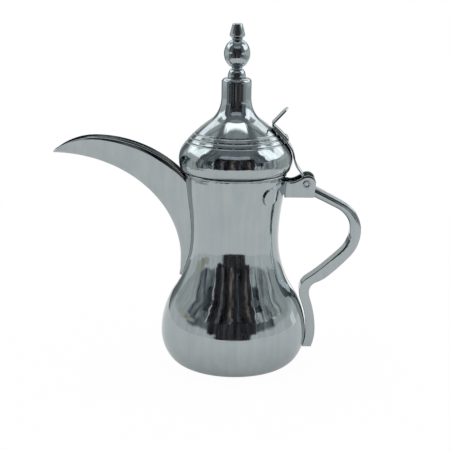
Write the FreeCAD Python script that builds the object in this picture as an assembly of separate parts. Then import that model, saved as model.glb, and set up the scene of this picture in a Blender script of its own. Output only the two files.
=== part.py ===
import FreeCAD, Part
import math
import os
from FreeCAD import Vector

# Dallah coffee pot. Millimetres, +Z up. The origin is the middle of the flat base, on the
# pot's axis. The spout points to -X and the handle to +X. The hinge pin lies along Y.

# Body, spun from sheet: outside radii and heights
BODY_WALL = 1.0
BASE_THICKNESS = 1.2
BASE_RADIUS = 37.0
BASE_FLAT_RADIUS = 39.0
BASE_FLANGE_WIDTH = 9.0
BELLY_RADIUS = 63.5
BELLY_HEIGHT = 31.0
UPPER_BELLY_CURVE = 70.0
WAIST_RADIUS = 38.2
WAIST_HEIGHT = 116.0
LIP_RADIUS = 43.6
RIM_HEIGHT = 171.0
NECK_TAPER = 6.0
RIM_BLEND = 3.0
LIP_RISE = 7.6
NECK_RING_WIDTH = 1.4
NECK_RING_HEIGHT = 2.3
NECK_RING_RISE = 1.0
NECK_RING_FIT = 0.05

# Strainer holes through the neck, behind the spout
STRAINER_HOLE = 3.2
STRAINER_ROWS = 10
STRAINER_PITCH = 5.2
STRAINER_MARGIN = 1.2
STRAINER_TOP_DROP = 14.0

# Lid, spun from sheet: heights are above the rim
LID_WALL = 1.0
LID_SIDE_CLEARANCE = 1.0
LID_SEAT_GAP = 0.3
SKIRT_HEIGHT = 4.6
BULGE_OVERHANG = 3.3
BULGE_RISE = 13.5
DOME_INSET = 3.6
DOME_RISE = 25.0
DOME_LEAN = 35.0
FLARE_RADIUS = 23.7
FLARE_RISE = 46.0
FLARE_LEAN = 54.5
TOWER_RADIUS = 12.9
TOWER_FOOT_RISE = 67.0
TOWER_HEIGHT = 16.2
TOWER_ROUNDING = 3.4
GROOVE_RISES = (29.2, 32.8, 36.4)
GROOVE_DEPTH = 0.35
GROOVE_CURVE = 0.8

# Finial, three turned pieces on one stud
STUD_RADIUS = 2.0
STUD_CLEARANCE = 0.1
STUD_TAIL = 1.0
STUD_END_GAP = 0.5
BELL_RADIUS = 7.8
BELL_EDGE = 0.8
BELL_LEAN = 60.0
BELL_NECK_RADIUS = 4.5
BELL_HEIGHT = 8.8
BALL_RADIUS = 11.25
BALL_HALF_HEIGHT = 11.8
BALL_FLAT_RADIUS = 4.0
BALL_LEAN = 67.5
TIP_NECK_RADIUS = 4.5
TIP_NECK_HEIGHT = 0.7
TIP_RADIUS = 6.6
TIP_CONE_FOOT = 3.9
TIP_TOP_RADIUS = 4.4
TIP_HEIGHT = 13.4
TIP_BEVEL = 0.6
TIP_HOLE_DEPTH = 9.0
WASHER_RADIUS = 6.0
WASHER_THICKNESS = 1.0
NUT_WIDTH = 7.0
NUT_HEIGHT = 3.2

# Hinge: the pin stands out from the lip and lies below the rim
PIN_STANDOFF = 17.5
PIN_DROP = 6.0
PIN_RADIUS = 2.5
PIN_WALL = 0.9
PIN_RUNNING_FIT = 0.05
PIN_TIGHT_FIT = 0.02
PIN_HEAD_MARGIN = 0.9
PIN_HEAD_HEIGHT = 1.3
PIN_HEAD_ROUNDING = 0.9

# Strap and thumb tab on the lid
STRAP_WIDTH = 16.0
STRAP_THICKNESS = 1.6
STRAP_LEAN = 22.0
STRAP_GAP = 0.45
STRAP_LEAVES = 16.5
STRAP_ENDS = 42.0
TAB_WIDTH = 14.0
TAB_THICKNESS = 1.5
TAB_GAP = 0.1
TAB_FOOT_STARTS = 30.0
TAB_FOOT_ENDS = 42.6
TAB_BEND_SIDE = 0.2
TAB_BEND_RISE = 3.6
TAB_LEAN = 43.0
TAB_LENGTH = 17.5
TAB_TIP_ROUNDING = 6.5
RIVET_RISE = 31.0
RIVET_SPACING = 9.0
RIVET_RADIUS = 1.5
RIVET_CLEARANCE = 0.06
RIVET_HEAD_RADIUS = 2.6
RIVET_HEAD_HEIGHT = 1.2
RIVET_TAIL_RADIUS = 2.3
RIVET_TAIL_HEIGHT = 0.9
RIVET_SEAT_GAP = 0.02
RIVET_ROOT = 0.1
RIVET_DRILL_LENGTH = 20.0

# Hinge bracket: two cheeks, each with a wing that hugs the neck
BRACKET_THICKNESS = 1.75
CHEEK_SIDE_CLEARANCE = 0.75
CHEEK_TOP_RADIUS = 7.3
CHEEK_TOP_SWEEP = 125.0
CHEEK_DROP = 11.8
CHEEK_SHOULDER_REACH = 15.0
CHEEK_SHOULDER_RISE = 1.4
WING_GAP = 0.1
WING_PAD_ANGLE = 46.0
WING_PAD_DROP = 8.0
WING_PAD_RADIUS = 7.2
WING_AIM = 30.0
WING_ROOT_TOP_RISE = 2.3
WING_ROOT_FOOT_DROP = 7.8

# Handle, a bent hollow bar of rounded oblong section: its loop is placed from the pin and
# from the belly
HANDLE_WIDTH = 14.0
HANDLE_TOP_THICKNESS = 7.7
HANDLE_THICKNESS = 9.4
LEG_THICKNESS = 8.0
LEG_END_THICKNESS = 6.6
HANDLE_CORNER = 2.7
HANDLE_WALL = 1.0
HANDLE_START_REACH = 4.9
HANDLE_START_DROP = 7.0
HANDLE_SLOPE = 25.5
HANDLE_REACH = 43.8
HANDLE_REACH_DROP = 41.5
HANDLE_MID_STANDOFF = 15.8
HANDLE_MID_RISE = 55.3
HANDLE_MID_SLOPE = 40.7
LEG_GAP = 0.3
LEG_RISE = 2.0
LEG_STEP = 6.25
LEG_BEND_RISE = 35.0
LEG_BEND_LENGTH = 3.9
LEG_END_DROP = 13.4
PLUG_LENGTH = 14.0
PLUG_HEIGHT = 5.6
PLUG_FOOT_RISE = 0.9
PLUG_GAP = 2.0
PLUG_NECK_HEIGHT = 2.8
TONGUE_LENGTH = 12.0
TONGUE_CLEARANCE = 0.05
END_CAP_THICKNESS = 1.2

# Spout, an open trough pressed as two halves that meet at a sharp keel: its tip and crest
# are placed from the lip, its root from the waist
SPOUT_WALL = 1.0
SPOUT_TIP_STANDOFF = 113.4
SPOUT_TIP_RISE = 17.0
SPOUT_CREST_STANDOFF = 77.4
SPOUT_CREST_RISE = 31.7
SPOUT_CREST_CURVE = 108.6
SPOUT_NOSE_CURVE = 52.7
SPOUT_ROOT_STANDOFF = 8.5
SPOUT_ROOT_DROP = 21.0
SPOUT_KEEL_SWEEP = 99.0
SPOUT_HALF_WIDTH = 10.0
SPOUT_TIP_HALF_WIDTH = 2.2
SPOUT_WIDENING = 20.0
SPOUT_BELLY = 2.2
SPOUT_SECTIONS = 12
SPOUT_TIP_SHARE = 0.005
SPOUT_SOLID_NOSE_SHARE = 0.06
SPOUT_RUN_IN = 2.0
SPOUT_ROOT_DEPTH = 14.0
SPOUT_ROOT_SINK = 3.5
SPOUT_GAP = 0.1

UP = Vector(0, 0, 1)
ORIGIN = Vector(0, 0, 0)


def at(radius, height):
    return Vector(radius, 0, height)


def lean(degrees):
    """Heading that leans this far from straight up, away from the axis."""
    angle = math.radians(degrees)
    return Vector(math.sin(angle), 0, math.cos(angle))


def turned(heading, angle):
    """Heading turned by an angle in the XZ plane, from X towards Z."""
    c, s = math.cos(angle), math.sin(angle)
    return Vector(heading.x * c - heading.z * s, 0, heading.x * s + heading.z * c)


def left_of(heading):
    return Vector(-heading.z, 0, heading.x)


class Arc:
    """Arc in the XZ plane that leaves its start along a heading and ends at a point."""

    def __init__(self, start, heading, end):
        self.start = start
        self.heading = heading.normalize() if heading.Length else heading
        self.end = end
        chord = end - start
        self.length = chord.Length
        self.bend = math.atan2(left_of(heading).dot(chord), heading.dot(chord))

    def point(self, share):
        if abs(self.bend) < 1e-7:
            return self.start + (self.end - self.start) * share
        reach = self.length * math.sin(self.bend * share) / math.sin(self.bend)
        return self.start + turned(self.heading, self.bend * share) * reach

    def heading_at(self, share):
        return turned(self.heading, 2 * self.bend * share)

    def shifted(self, distance):
        """The arc moved to its left by a distance, as sheet metal's other face."""
        start = self.start + left_of(self.heading) * distance
        end = self.end + left_of(self.heading_at(1)) * distance
        return Arc(start, Vector(self.heading), end)

    def stretch(self, low, high):
        return Arc(self.point(low), self.heading_at(low), self.point(high))

    def share_at_height(self, height):
        low, high = 0.0, 1.0
        for _ in range(50):
            middle = (low + high) / 2
            if self.point(middle).z < height:
                low = middle
            else:
                high = middle
        return (low + high) / 2

    def edge(self):
        if abs(self.bend) < 1e-7:
            return Part.makeLine(self.start, self.end)
        return Part.Arc(self.start, self.point(0.5), self.end).toShape()


def biarc(start, start_heading, end, end_heading, first=None):
    """Two arcs that join two points smoothly along the given headings."""
    span = end - start
    spread = 1 - start_heading.dot(end_heading)
    along = span.dot(start_heading) + span.dot(end_heading)
    if first is None and spread < 1e-9:
        first = span.dot(span) / (2 * along)
    if first is None:
        first = (math.sqrt(along ** 2 + 2 * spread * span.dot(span)) - along) / (2 * spread)
    last = span.dot(span) / 2 - first * span.dot(start_heading)
    last = last / (span.dot(end_heading) + first * spread)
    corner = start + start_heading * first
    corner += (end - end_heading * last - corner) * (first / (first + last))
    lower = Arc(start, Vector(start_heading), corner)
    return [lower, Arc(corner, lower.heading_at(1), end)]


def line(start, end):
    return Arc(start, (end - start).normalize(), end)


def between_heights(chain, low, high):
    """The stretch of a rising chain of arcs between two heights."""
    kept = []
    for arc in chain:
        if arc.end.z <= low or arc.start.z >= high:
            continue
        first = arc.share_at_height(low) if arc.start.z < low else 0.0
        last = arc.share_at_height(high) if arc.end.z > high else 1.0
        kept.append(arc.stretch(first, last))
    return kept


def on_chain(chain, height):
    """Point and heading on a rising chain of arcs at a height."""
    for arc in chain:
        if arc.start.z <= height <= arc.end.z:
            share = arc.share_at_height(height)
            return arc.point(share), arc.heading_at(share)
    raise ValueError("the chain doesn't reach this height")


def sheet_face(chain, thickness):
    """Face of a bent sheet: the chain is one side, the other lies to its left."""
    other = [arc.shifted(thickness) for arc in chain]
    edges = [arc.edge() for arc in chain] + [arc.edge() for arc in other]
    edges.append(Part.makeLine(chain[0].start, other[0].start))
    edges.append(Part.makeLine(chain[-1].end, other[-1].end))
    return Part.Face(Part.Wire(Part.__sortEdges__(edges)))


def outline_face(points):
    return Part.Face(Part.makePolygon(points + points[:1]))


def spun(face):
    return face.revolve(ORIGIN, UP, 360)


def across(face, width):
    """A face in the XZ plane made into a solid of this width, centred on the plane."""
    moved = face.translated(Vector(0, -width / 2, 0))
    return moved.extrude(Vector(0, width, 0))


def rod(radius, height, foot, direction=UP):
    return Part.makeCylinder(radius, height, foot, direction)


def mirrored(shape):
    return shape.mirror(ORIGIN, Vector(0, 1, 0))


def save(name, shape):
    shape.exportStep("parts/%s.step" % name)
    print(name, "solids", len(shape.Solids), "volume", round(shape.Volume, 1), shape.isValid())


# Levels and places that several pieces share
LID_FOOT = RIM_HEIGHT + NECK_RING_RISE + NECK_RING_HEIGHT + LID_SEAT_GAP
SKIRT_RADIUS = LIP_RADIUS + LID_SIDE_CLEARANCE + LID_WALL
BULGE_RADIUS = SKIRT_RADIUS + BULGE_OVERHANG
TOWER_TOP = RIM_HEIGHT + TOWER_FOOT_RISE + TOWER_HEIGHT
BALL_FOOT = TOWER_TOP + BELL_HEIGHT
BALL_CENTRE = BALL_FOOT + BALL_HALF_HEIGHT
TIP_FOOT = BALL_CENTRE + BALL_HALF_HEIGHT
PIN = at(LIP_RADIUS + PIN_STANDOFF, RIM_HEIGHT - PIN_DROP)
CHEEK_INSIDE = STRAP_WIDTH / 2 + CHEEK_SIDE_CLEARANCE
CHEEK_OUTSIDE = CHEEK_INSIDE + BRACKET_THICKNESS
SPOUT_TIP = at(-LIP_RADIUS - SPOUT_TIP_STANDOFF, RIM_HEIGHT + SPOUT_TIP_RISE)
SPOUT_CREST = at(-LIP_RADIUS - SPOUT_CREST_STANDOFF, RIM_HEIGHT + SPOUT_CREST_RISE)
SPOUT_ROOT = at(-WAIST_RADIUS - SPOUT_ROOT_STANDOFF, WAIST_HEIGHT - SPOUT_ROOT_DROP)


def body_chain():
    """Outside of the body from its base flange up to the lip."""
    flat = at(BASE_FLAT_RADIUS, BASE_THICKNESS)
    belly = at(BELLY_RADIUS, BELLY_HEIGHT)
    waist = at(WAIST_RADIUS, WAIST_HEIGHT)
    blend_radius = LIP_RADIUS - RIM_BLEND * math.tan(math.radians(NECK_TAPER / 2))
    rim = at(blend_radius, RIM_HEIGHT - RIM_BLEND)
    lip = at(LIP_RADIUS, RIM_HEIGHT)
    belly_bend = (BELLY_RADIUS - WAIST_RADIUS) / (WAIST_HEIGHT - BELLY_HEIGHT)
    chain = [line(flat - Vector(BASE_FLANGE_WIDTH, 0, 0), flat)]
    chain += biarc(flat, Vector(1, 0, 0), belly, lean(0))
    chain += biarc(belly, lean(0), waist, lean(0), UPPER_BELLY_CURVE * belly_bend)
    chain += biarc(waist, lean(0), rim, lean(NECK_TAPER))
    chain.append(Arc(rim, lean(NECK_TAPER), lip))
    chain.append(line(lip, lip + UP * LIP_RISE))
    return chain


def body_filled(gap):
    """The body's outside as one solid, grown by a gap, to trim what is fixed to it."""
    chain = [arc.shifted(-gap) for arc in body_chain()]
    edges = [arc.edge() for arc in chain]
    top, foot = chain[-1].end, chain[0].start
    edges.append(Part.makeLine(top, at(0, top.z)))
    edges.append(Part.makeLine(at(0, top.z), at(0, foot.z)))
    edges.append(Part.makeLine(at(0, foot.z), foot))
    return spun(Part.Face(Part.Wire(Part.__sortEdges__(edges))))


def strainer_holes():
    """Rows of holes that stay inside the spout's root, which narrows downwards."""
    holes = []
    foot = spout_keel(1).z
    for row in range(STRAINER_ROWS):
        height = RIM_HEIGHT - STRAINER_TOP_DROP - row * STRAINER_PITCH
        half = SPOUT_HALF_WIDTH * (height - foot) / (RIM_HEIGHT - foot)
        room = half - SPOUT_WALL - STRAINER_MARGIN - STRAINER_HOLE / 2
        count = max(0, math.floor(room / STRAINER_PITCH))
        for column in range(-count, count + 1):
            start = Vector(0, column * STRAINER_PITCH, height)
            holes.append(rod(STRAINER_HOLE / 2, BELLY_RADIUS, start, Vector(-1, 0, 0)))
    return holes


def body_shell():
    return spun(sheet_face(body_chain(), BODY_WALL)).cut(strainer_holes())


def base_disc():
    return rod(BASE_RADIUS, BASE_THICKNESS, ORIGIN)


def neck_ring():
    """Half-round wire round the lip, on which the lid rests."""
    foot = at(LIP_RADIUS + NECK_RING_FIT, RIM_HEIGHT + NECK_RING_RISE)
    head = foot + UP * NECK_RING_HEIGHT
    middle = (foot + head) * 0.5 + Vector(NECK_RING_WIDTH, 0, 0)
    round_side = Part.Arc(foot, middle, head).toShape()
    return spun(Part.Face(Part.Wire([round_side, Part.makeLine(head, foot)])))


def lid_chain():
    """Outside of the lid from the foot of its skirt up to the shoulder of its tower."""
    foot = at(SKIRT_RADIUS, LID_FOOT)
    skirt_top = foot + UP * SKIRT_HEIGHT
    bulge = at(BULGE_RADIUS, RIM_HEIGHT + BULGE_RISE)
    dome = at(BULGE_RADIUS - DOME_INSET, RIM_HEIGHT + DOME_RISE)
    flare = at(FLARE_RADIUS, RIM_HEIGHT + FLARE_RISE)
    tower_foot = at(TOWER_RADIUS, RIM_HEIGHT + TOWER_FOOT_RISE)
    tower_top = at(TOWER_RADIUS, TOWER_TOP - TOWER_ROUNDING)
    shoulder = at(TOWER_RADIUS - TOWER_ROUNDING, TOWER_TOP)
    chain = [line(foot, skirt_top)]
    chain += biarc(skirt_top, lean(0), bulge, lean(0))
    chain += biarc(bulge, lean(0), dome, lean(-DOME_LEAN))
    chain += biarc(dome, lean(-DOME_LEAN), flare, lean(-FLARE_LEAN))
    chain += biarc(flare, lean(-FLARE_LEAN), tower_foot, lean(0))
    chain.append(line(tower_foot, tower_top))
    chain.append(Arc(tower_top, lean(0), shoulder))
    return chain


def rivet_places():
    """Foot points of the strap's rivets on the lid's outside, and their direction."""
    point, heading = on_chain(lid_chain(), RIM_HEIGHT + RIVET_RISE)
    outward = left_of(heading) * -1
    sides = (-RIVET_SPACING / 2, RIVET_SPACING / 2)
    return [point + Vector(0, side, 0) for side in sides], outward


def rivet_holes():
    feet, outward = rivet_places()
    radius = RIVET_RADIUS + RIVET_CLEARANCE
    back = outward * (RIVET_DRILL_LENGTH / 2)
    return [rod(radius, RIVET_DRILL_LENGTH, foot - back, outward) for foot in feet]


def lid_shell():
    chain = lid_chain()
    top = line(chain[-1].end, at(STUD_RADIUS + STUD_CLEARANCE, TOWER_TOP))
    shell = spun(sheet_face(chain + [top], LID_WALL))
    grooves = []
    for rise in GROOVE_RISES:
        point, heading = on_chain(chain, RIM_HEIGHT + rise)
        centre = point - left_of(heading) * (GROOVE_CURVE - GROOVE_DEPTH)
        grooves.append(Part.makeTorus(centre.x, GROOVE_CURVE, at(0, centre.z)))
    return shell.cut(grooves + rivet_holes())


def lid_strap():
    """Strap that follows the dome, then runs down to an eye round the hinge pin."""
    chain = [arc.shifted(-STRAP_GAP) for arc in lid_chain()]
    low, high = RIM_HEIGHT + STRAP_LEAVES, RIM_HEIGHT + STRAP_ENDS
    on_dome = between_heights(chain, low, high)
    heading = lean(-STRAP_LEAN)
    start = PIN + left_of(heading) * (STRAP_THICKNESS / 2)
    free = biarc(start, heading, on_dome[0].start, on_dome[0].heading)
    leaf = across(sheet_face(free + on_dome, -STRAP_THICKNESS), STRAP_WIDTH)
    foot = PIN - Vector(0, STRAP_WIDTH / 2, 0)
    bore = PIN_RADIUS + PIN_RUNNING_FIT
    eye = rod(bore + STRAP_THICKNESS, STRAP_WIDTH, foot, Vector(0, 1, 0))
    hole = rod(bore, STRAP_WIDTH, foot, Vector(0, 1, 0))
    return leaf.fuse(eye).cut([hole] + rivet_holes()).removeSplitter()


def thumb_tab():
    """Tab that lifts the lid: its foot lies on the strap and its blade leans outwards."""
    gap = STRAP_GAP + STRAP_THICKNESS + TAB_GAP
    chain = [arc.shifted(-gap) for arc in lid_chain()]
    foot = between_heights(chain, RIM_HEIGHT + TAB_FOOT_STARTS, RIM_HEIGHT + TAB_FOOT_ENDS)
    end = foot[-1].end
    turn = end + Vector(-TAB_BEND_SIDE, 0, TAB_BEND_RISE)
    tip = turn + lean(TAB_LEAN) * TAB_LENGTH
    blade = biarc(end, foot[-1].heading_at(1), turn, lean(TAB_LEAN))
    blade.append(line(turn, tip))
    tab = across(sheet_face(foot + blade, -TAB_THICKNESS), TAB_WIDTH)
    tip_edges = []
    for edge in tab.Edges:
        away = (edge.CenterOfMass - tip).dot(lean(TAB_LEAN))
        side = abs(abs(edge.CenterOfMass.y) - TAB_WIDTH / 2)
        if abs(away) < 0.01 and side < 0.01:
            tip_edges.append(edge)
    return tab.makeFillet(TAB_TIP_ROUNDING, tip_edges).cut(rivet_holes())


def strap_rivets():
    """Two domed rivets through tab, strap and lid, with a flat tail inside the lid."""
    feet, outward = rivet_places()
    stack = STRAP_GAP + STRAP_THICKNESS + TAB_GAP + TAB_THICKNESS
    curve = feet[0].x
    tail_side = RIVET_SPACING / 2 + RIVET_TAIL_RADIUS
    sag = curve - math.sqrt(curve ** 2 - tail_side ** 2)
    dome_radius = (RIVET_HEAD_RADIUS ** 2 + RIVET_HEAD_HEIGHT ** 2) / (2 * RIVET_HEAD_HEIGHT)
    rivets = []
    for foot in feet:
        seat = foot + outward * (stack + RIVET_SEAT_GAP)
        tail_top = foot - outward * (LID_WALL + sag)
        shank_foot = tail_top - outward * RIVET_ROOT
        shank_length = (seat - tail_top).Length + 2 * RIVET_ROOT
        ball = Part.makeSphere(dome_radius, seat + outward * (RIVET_HEAD_HEIGHT - dome_radius))
        head = ball.common(rod(dome_radius, dome_radius, seat, outward))
        shank = rod(RIVET_RADIUS, shank_length, shank_foot, outward)
        tail = rod(RIVET_TAIL_RADIUS, RIVET_TAIL_HEIGHT, tail_top, outward * -1)
        rivets.append(head.fuse([shank, tail]).removeSplitter())
    return Part.makeCompound(rivets)


def stud_bore():
    height = TIP_FOOT - TOWER_TOP
    return rod(STUD_RADIUS + STUD_CLEARANCE, height, at(0, TOWER_TOP))


def turned_round(side, corners):
    """Solid turned from a rising chain of arcs that is closed by straight lines."""
    edges = [arc.edge() for arc in side]
    for first, second in zip(corners, corners[1:]):
        edges.append(Part.makeLine(first, second))
    return spun(Part.Face(Part.Wire(Part.__sortEdges__(edges))))


def finial_bell():
    """Dome with a short straight edge below and a short neck above."""
    edge = at(BELL_RADIUS, TOWER_TOP + BELL_EDGE)
    neck = at(BELL_NECK_RADIUS, BALL_FOOT - BELL_EDGE)
    side = biarc(edge, lean(0), neck, lean(-BELL_LEAN))
    corners = [neck, at(BELL_NECK_RADIUS, BALL_FOOT), at(0, BALL_FOOT), at(0, TOWER_TOP)]
    corners += [at(BELL_RADIUS, TOWER_TOP), edge]
    return turned_round(side, corners).cut(stud_bore())


def finial_ball():
    """Ball a little taller than wide, with a small flat at each end."""
    foot, top = at(BALL_FLAT_RADIUS, BALL_FOOT), at(BALL_FLAT_RADIUS, TIP_FOOT)
    belt = at(BALL_RADIUS, BALL_CENTRE)
    side = biarc(foot, lean(BALL_LEAN), belt, lean(0))
    side += biarc(belt, lean(0), top, lean(-BALL_LEAN))
    corners = [top, at(0, TIP_FOOT), at(0, BALL_FOOT), foot]
    return turned_round(side, corners).cut(stud_bore())


def finial_tip():
    top = TIP_FOOT + TIP_HEIGHT
    cone_foot = TIP_FOOT + TIP_CONE_FOOT
    corners = [at(0, TIP_FOOT), at(TIP_NECK_RADIUS, TIP_FOOT)]
    corners.append(at(TIP_NECK_RADIUS, TIP_FOOT + TIP_NECK_HEIGHT))
    corners += [at(TIP_RADIUS, cone_foot - TIP_BEVEL), at(TIP_RADIUS, cone_foot + TIP_BEVEL)]
    corners += [at(TIP_TOP_RADIUS, top - TIP_BEVEL), at(TIP_TOP_RADIUS - TIP_BEVEL, top)]
    corners.append(at(0, top))
    hole = rod(STUD_RADIUS + STUD_CLEARANCE / 2, TIP_HOLE_DEPTH, at(0, TIP_FOOT))
    return spun(outline_face(corners)).cut(hole)


def washer_foot():
    return TOWER_TOP - LID_WALL - WASHER_THICKNESS


def finial_washer():
    foot = at(0, washer_foot())
    disc = rod(WASHER_RADIUS, WASHER_THICKNESS, foot)
    return disc.cut(rod(STUD_RADIUS + STUD_CLEARANCE, WASHER_THICKNESS, foot))


def finial_nut():
    foot = at(0, washer_foot() - NUT_HEIGHT)
    corner = NUT_WIDTH / math.sqrt(3)
    corners = []
    for step in range(6):
        angle = math.radians(60 * step)
        corners.append(foot + Vector(corner * math.cos(angle), corner * math.sin(angle), 0))
    block = outline_face(corners).extrude(UP * NUT_HEIGHT)
    return block.cut(rod(STUD_RADIUS + STUD_CLEARANCE / 2, NUT_HEIGHT, foot))


def finial_stud():
    foot = washer_foot() - NUT_HEIGHT - STUD_TAIL
    top = TIP_FOOT + TIP_HOLE_DEPTH - STUD_END_GAP
    return rod(STUD_RADIUS, top - foot, at(0, foot))


def hinge_pin():
    """Tubular rivet through both cheeks and the strap's eye."""
    half = CHEEK_OUTSIDE + PIN_HEAD_HEIGHT
    along = Vector(0, 1, 0)
    foot = PIN - along * half
    shank = rod(PIN_RADIUS, 2 * half, foot, along)
    heads = []
    for side in (-1, 1):
        seat = PIN + along * (side * CHEEK_OUTSIDE)
        head = rod(PIN_RADIUS + PIN_HEAD_MARGIN, PIN_HEAD_HEIGHT, seat, along * side)
        rims = [edge for edge in head.Edges if abs(edge.CenterOfMass.y) > half - 0.01]
        heads.append(head.makeFillet(PIN_HEAD_ROUNDING, rims))
    bore = rod(PIN_RADIUS - PIN_WALL, 2 * half, foot, along)
    return shank.fuse(heads).cut(bore).removeSplitter()


def bracket_cheek():
    """Near cheek: a plate with a round top over the pin and a low shoulder at the neck."""
    foot = PIN.z - CHEEK_DROP
    right = PIN.x + CHEEK_TOP_RADIUS
    sweep = math.radians(CHEEK_TOP_SWEEP)
    brow = PIN + turned(Vector(CHEEK_TOP_RADIUS, 0, 0), sweep)
    crown = PIN + turned(Vector(CHEEK_TOP_RADIUS, 0, 0), sweep / 2)
    shoulder = PIN + Vector(-CHEEK_SHOULDER_REACH, 0, CHEEK_SHOULDER_RISE)
    root = at(WAIST_RADIUS, shoulder.z)
    edges = [Part.Arc(at(right, PIN.z), crown, brow).toShape()]
    back = biarc(brow, lean(-CHEEK_TOP_SWEEP), shoulder, Vector(-1, 0, 0))
    edges += [arc.edge() for arc in back]
    corners = [shoulder, root, at(WAIST_RADIUS, foot), at(right, foot), at(right, PIN.z)]
    for first, second in zip(corners, corners[1:]):
        edges.append(Part.makeLine(first, second))
    face = Part.Face(Part.Wire(Part.__sortEdges__(edges)))
    return face.translated(Vector(0, -CHEEK_OUTSIDE, 0)).extrude(Vector(0, BRACKET_THICKNESS, 0))


def bracket_wing():
    """Near wing: a round pad and a tapering band, rolled to the neck's curve."""
    aim = math.radians(-WING_AIM)
    out = Vector(math.cos(aim), math.sin(aim), 0)
    ahead = Vector(out.y, -out.x, 0)
    pad_turn = math.radians(WING_PAD_ANGLE - WING_AIM)
    pad_offset = ahead * (LIP_RADIUS * math.sin(pad_turn))
    pad_centre = pad_offset + UP * (PIN.z - WING_PAD_DROP)
    root_turn = math.asin(CHEEK_INSIDE / LIP_RADIUS) + aim
    root = ahead * (LIP_RADIUS * math.sin(root_turn))
    corners = [root + UP * (PIN.z + WING_ROOT_TOP_RISE), root + UP * (PIN.z - WING_ROOT_FOOT_DROP)]
    corners += [pad_centre - UP * WING_PAD_RADIUS, pad_centre + UP * WING_PAD_RADIUS]
    length = 2 * LIP_RADIUS
    band = outline_face(corners).extrude(out * length)
    pad = rod(WING_PAD_RADIUS, length, pad_centre, out)
    rolled = body_filled(WING_GAP + BRACKET_THICKNESS)
    return band.fuse(pad).common(rolled)


def bracket_near():
    along = Vector(0, 1, 0)
    start = PIN - along * (2 * CHEEK_OUTSIDE)
    pin_hole = rod(PIN_RADIUS + PIN_TIGHT_FIT, 4 * CHEEK_OUTSIDE, start, along)
    whole = bracket_cheek().fuse(bracket_wing())
    return whole.cut([body_filled(WING_GAP), pin_hole]).removeSplitter()


def handle_stations():
    """Places on the handle's middle line: point, heading, thickness and length of the bend
    that leads to the next place, where that is set."""
    down = Vector(0, 0, -1)
    start = PIN + Vector(HANDLE_START_REACH, 0, -HANDLE_START_DROP)
    reach = PIN + Vector(HANDLE_REACH, 0, -HANDLE_REACH_DROP)
    middle = at(BELLY_RADIUS + HANDLE_MID_STANDOFF, BELLY_HEIGHT + HANDLE_MID_RISE)
    leg = at(BELLY_RADIUS + LEG_GAP + LEG_THICKNESS / 2, BELLY_HEIGHT + LEG_RISE)
    bend = leg + Vector(-LEG_STEP, 0, LEG_BEND_RISE)
    belly_side = body_chain()[2].shifted(-LEG_GAP - LEG_END_THICKNESS / 2)
    bend_thickness = (HANDLE_THICKNESS + LEG_THICKNESS) / 2
    slanted = lean(270 - HANDLE_MID_SLOPE)
    return [
        (start, lean(90 + HANDLE_SLOPE), HANDLE_TOP_THICKNESS, None),
        (reach, down, HANDLE_THICKNESS, None),
        (middle, slanted, HANDLE_THICKNESS, None),
        (bend, down, bend_thickness, LEG_BEND_LENGTH),
        (leg, down, LEG_THICKNESS, None),
        (belly_side.point(0), belly_side.heading * -1, LEG_END_THICKNESS, None),
    ]


def handle_side(inset, sign):
    """One long side of the handle's outline, seen along Y."""
    places = []
    for point, heading, thickness, bend in handle_stations():
        shift = left_of(heading) * (sign * (thickness / 2 - inset))
        places.append((point + shift, heading, bend))
    arcs = []
    for (start, leaving, bend), (end, arriving, _) in zip(places, places[1:]):
        arcs += biarc(start, leaving, end, arriving, bend)
    return arcs


def handle_bar(inset):
    """Solid bar with the handle's outline, thinner all round by an inset."""
    left, right = handle_side(inset, 1), handle_side(inset, -1)
    edges = [arc.edge() for arc in left + right]
    edges.append(Part.makeLine(left[0].start, right[0].start))
    edges.append(Part.makeLine(left[-1].end, right[-1].end))
    face = Part.Face(Part.Wire(Part.__sortEdges__(edges)))
    return across(face, HANDLE_WIDTH - 2 * inset)


def rounded_bar():
    """The handle's bar with its four long edges rounded."""
    bar = handle_bar(0)
    ends = (handle_stations()[0], handle_stations()[-1])
    long_edges = []
    for edge in bar.Edges:
        is_side = abs(abs(edge.CenterOfMass.y) - HANDLE_WIDTH / 2) < 0.01
        at_end = False
        for point, heading, _, _ in ends:
            offsets = [abs((vertex.Point - point).dot(heading)) for vertex in edge.Vertexes]
            at_end = at_end or max(offsets) < 0.001
        if is_side and not at_end:
            long_edges.append(edge)
    return bar.makeFillet(HANDLE_CORNER, long_edges)


def above_leg_end(shape, height=0.0):
    """What lies above the leg's flat cut end, or above a height over it."""
    span = 2 * (PIN.x + HANDLE_REACH)
    corner = Vector(0, -span / 2, BELLY_HEIGHT - LEG_END_DROP + height)
    return shape.common(Part.makeBox(span, span, span, corner))


def handle():
    return above_leg_end(rounded_bar().cut(handle_bar(HANDLE_WALL)))


def handle_end_cap():
    """Plate that closes the handle's cut lower end."""
    core = above_leg_end(handle_bar(HANDLE_WALL + TONGUE_CLEARANCE))
    return core.cut(above_leg_end(core, END_CAP_THICKNESS))


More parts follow.
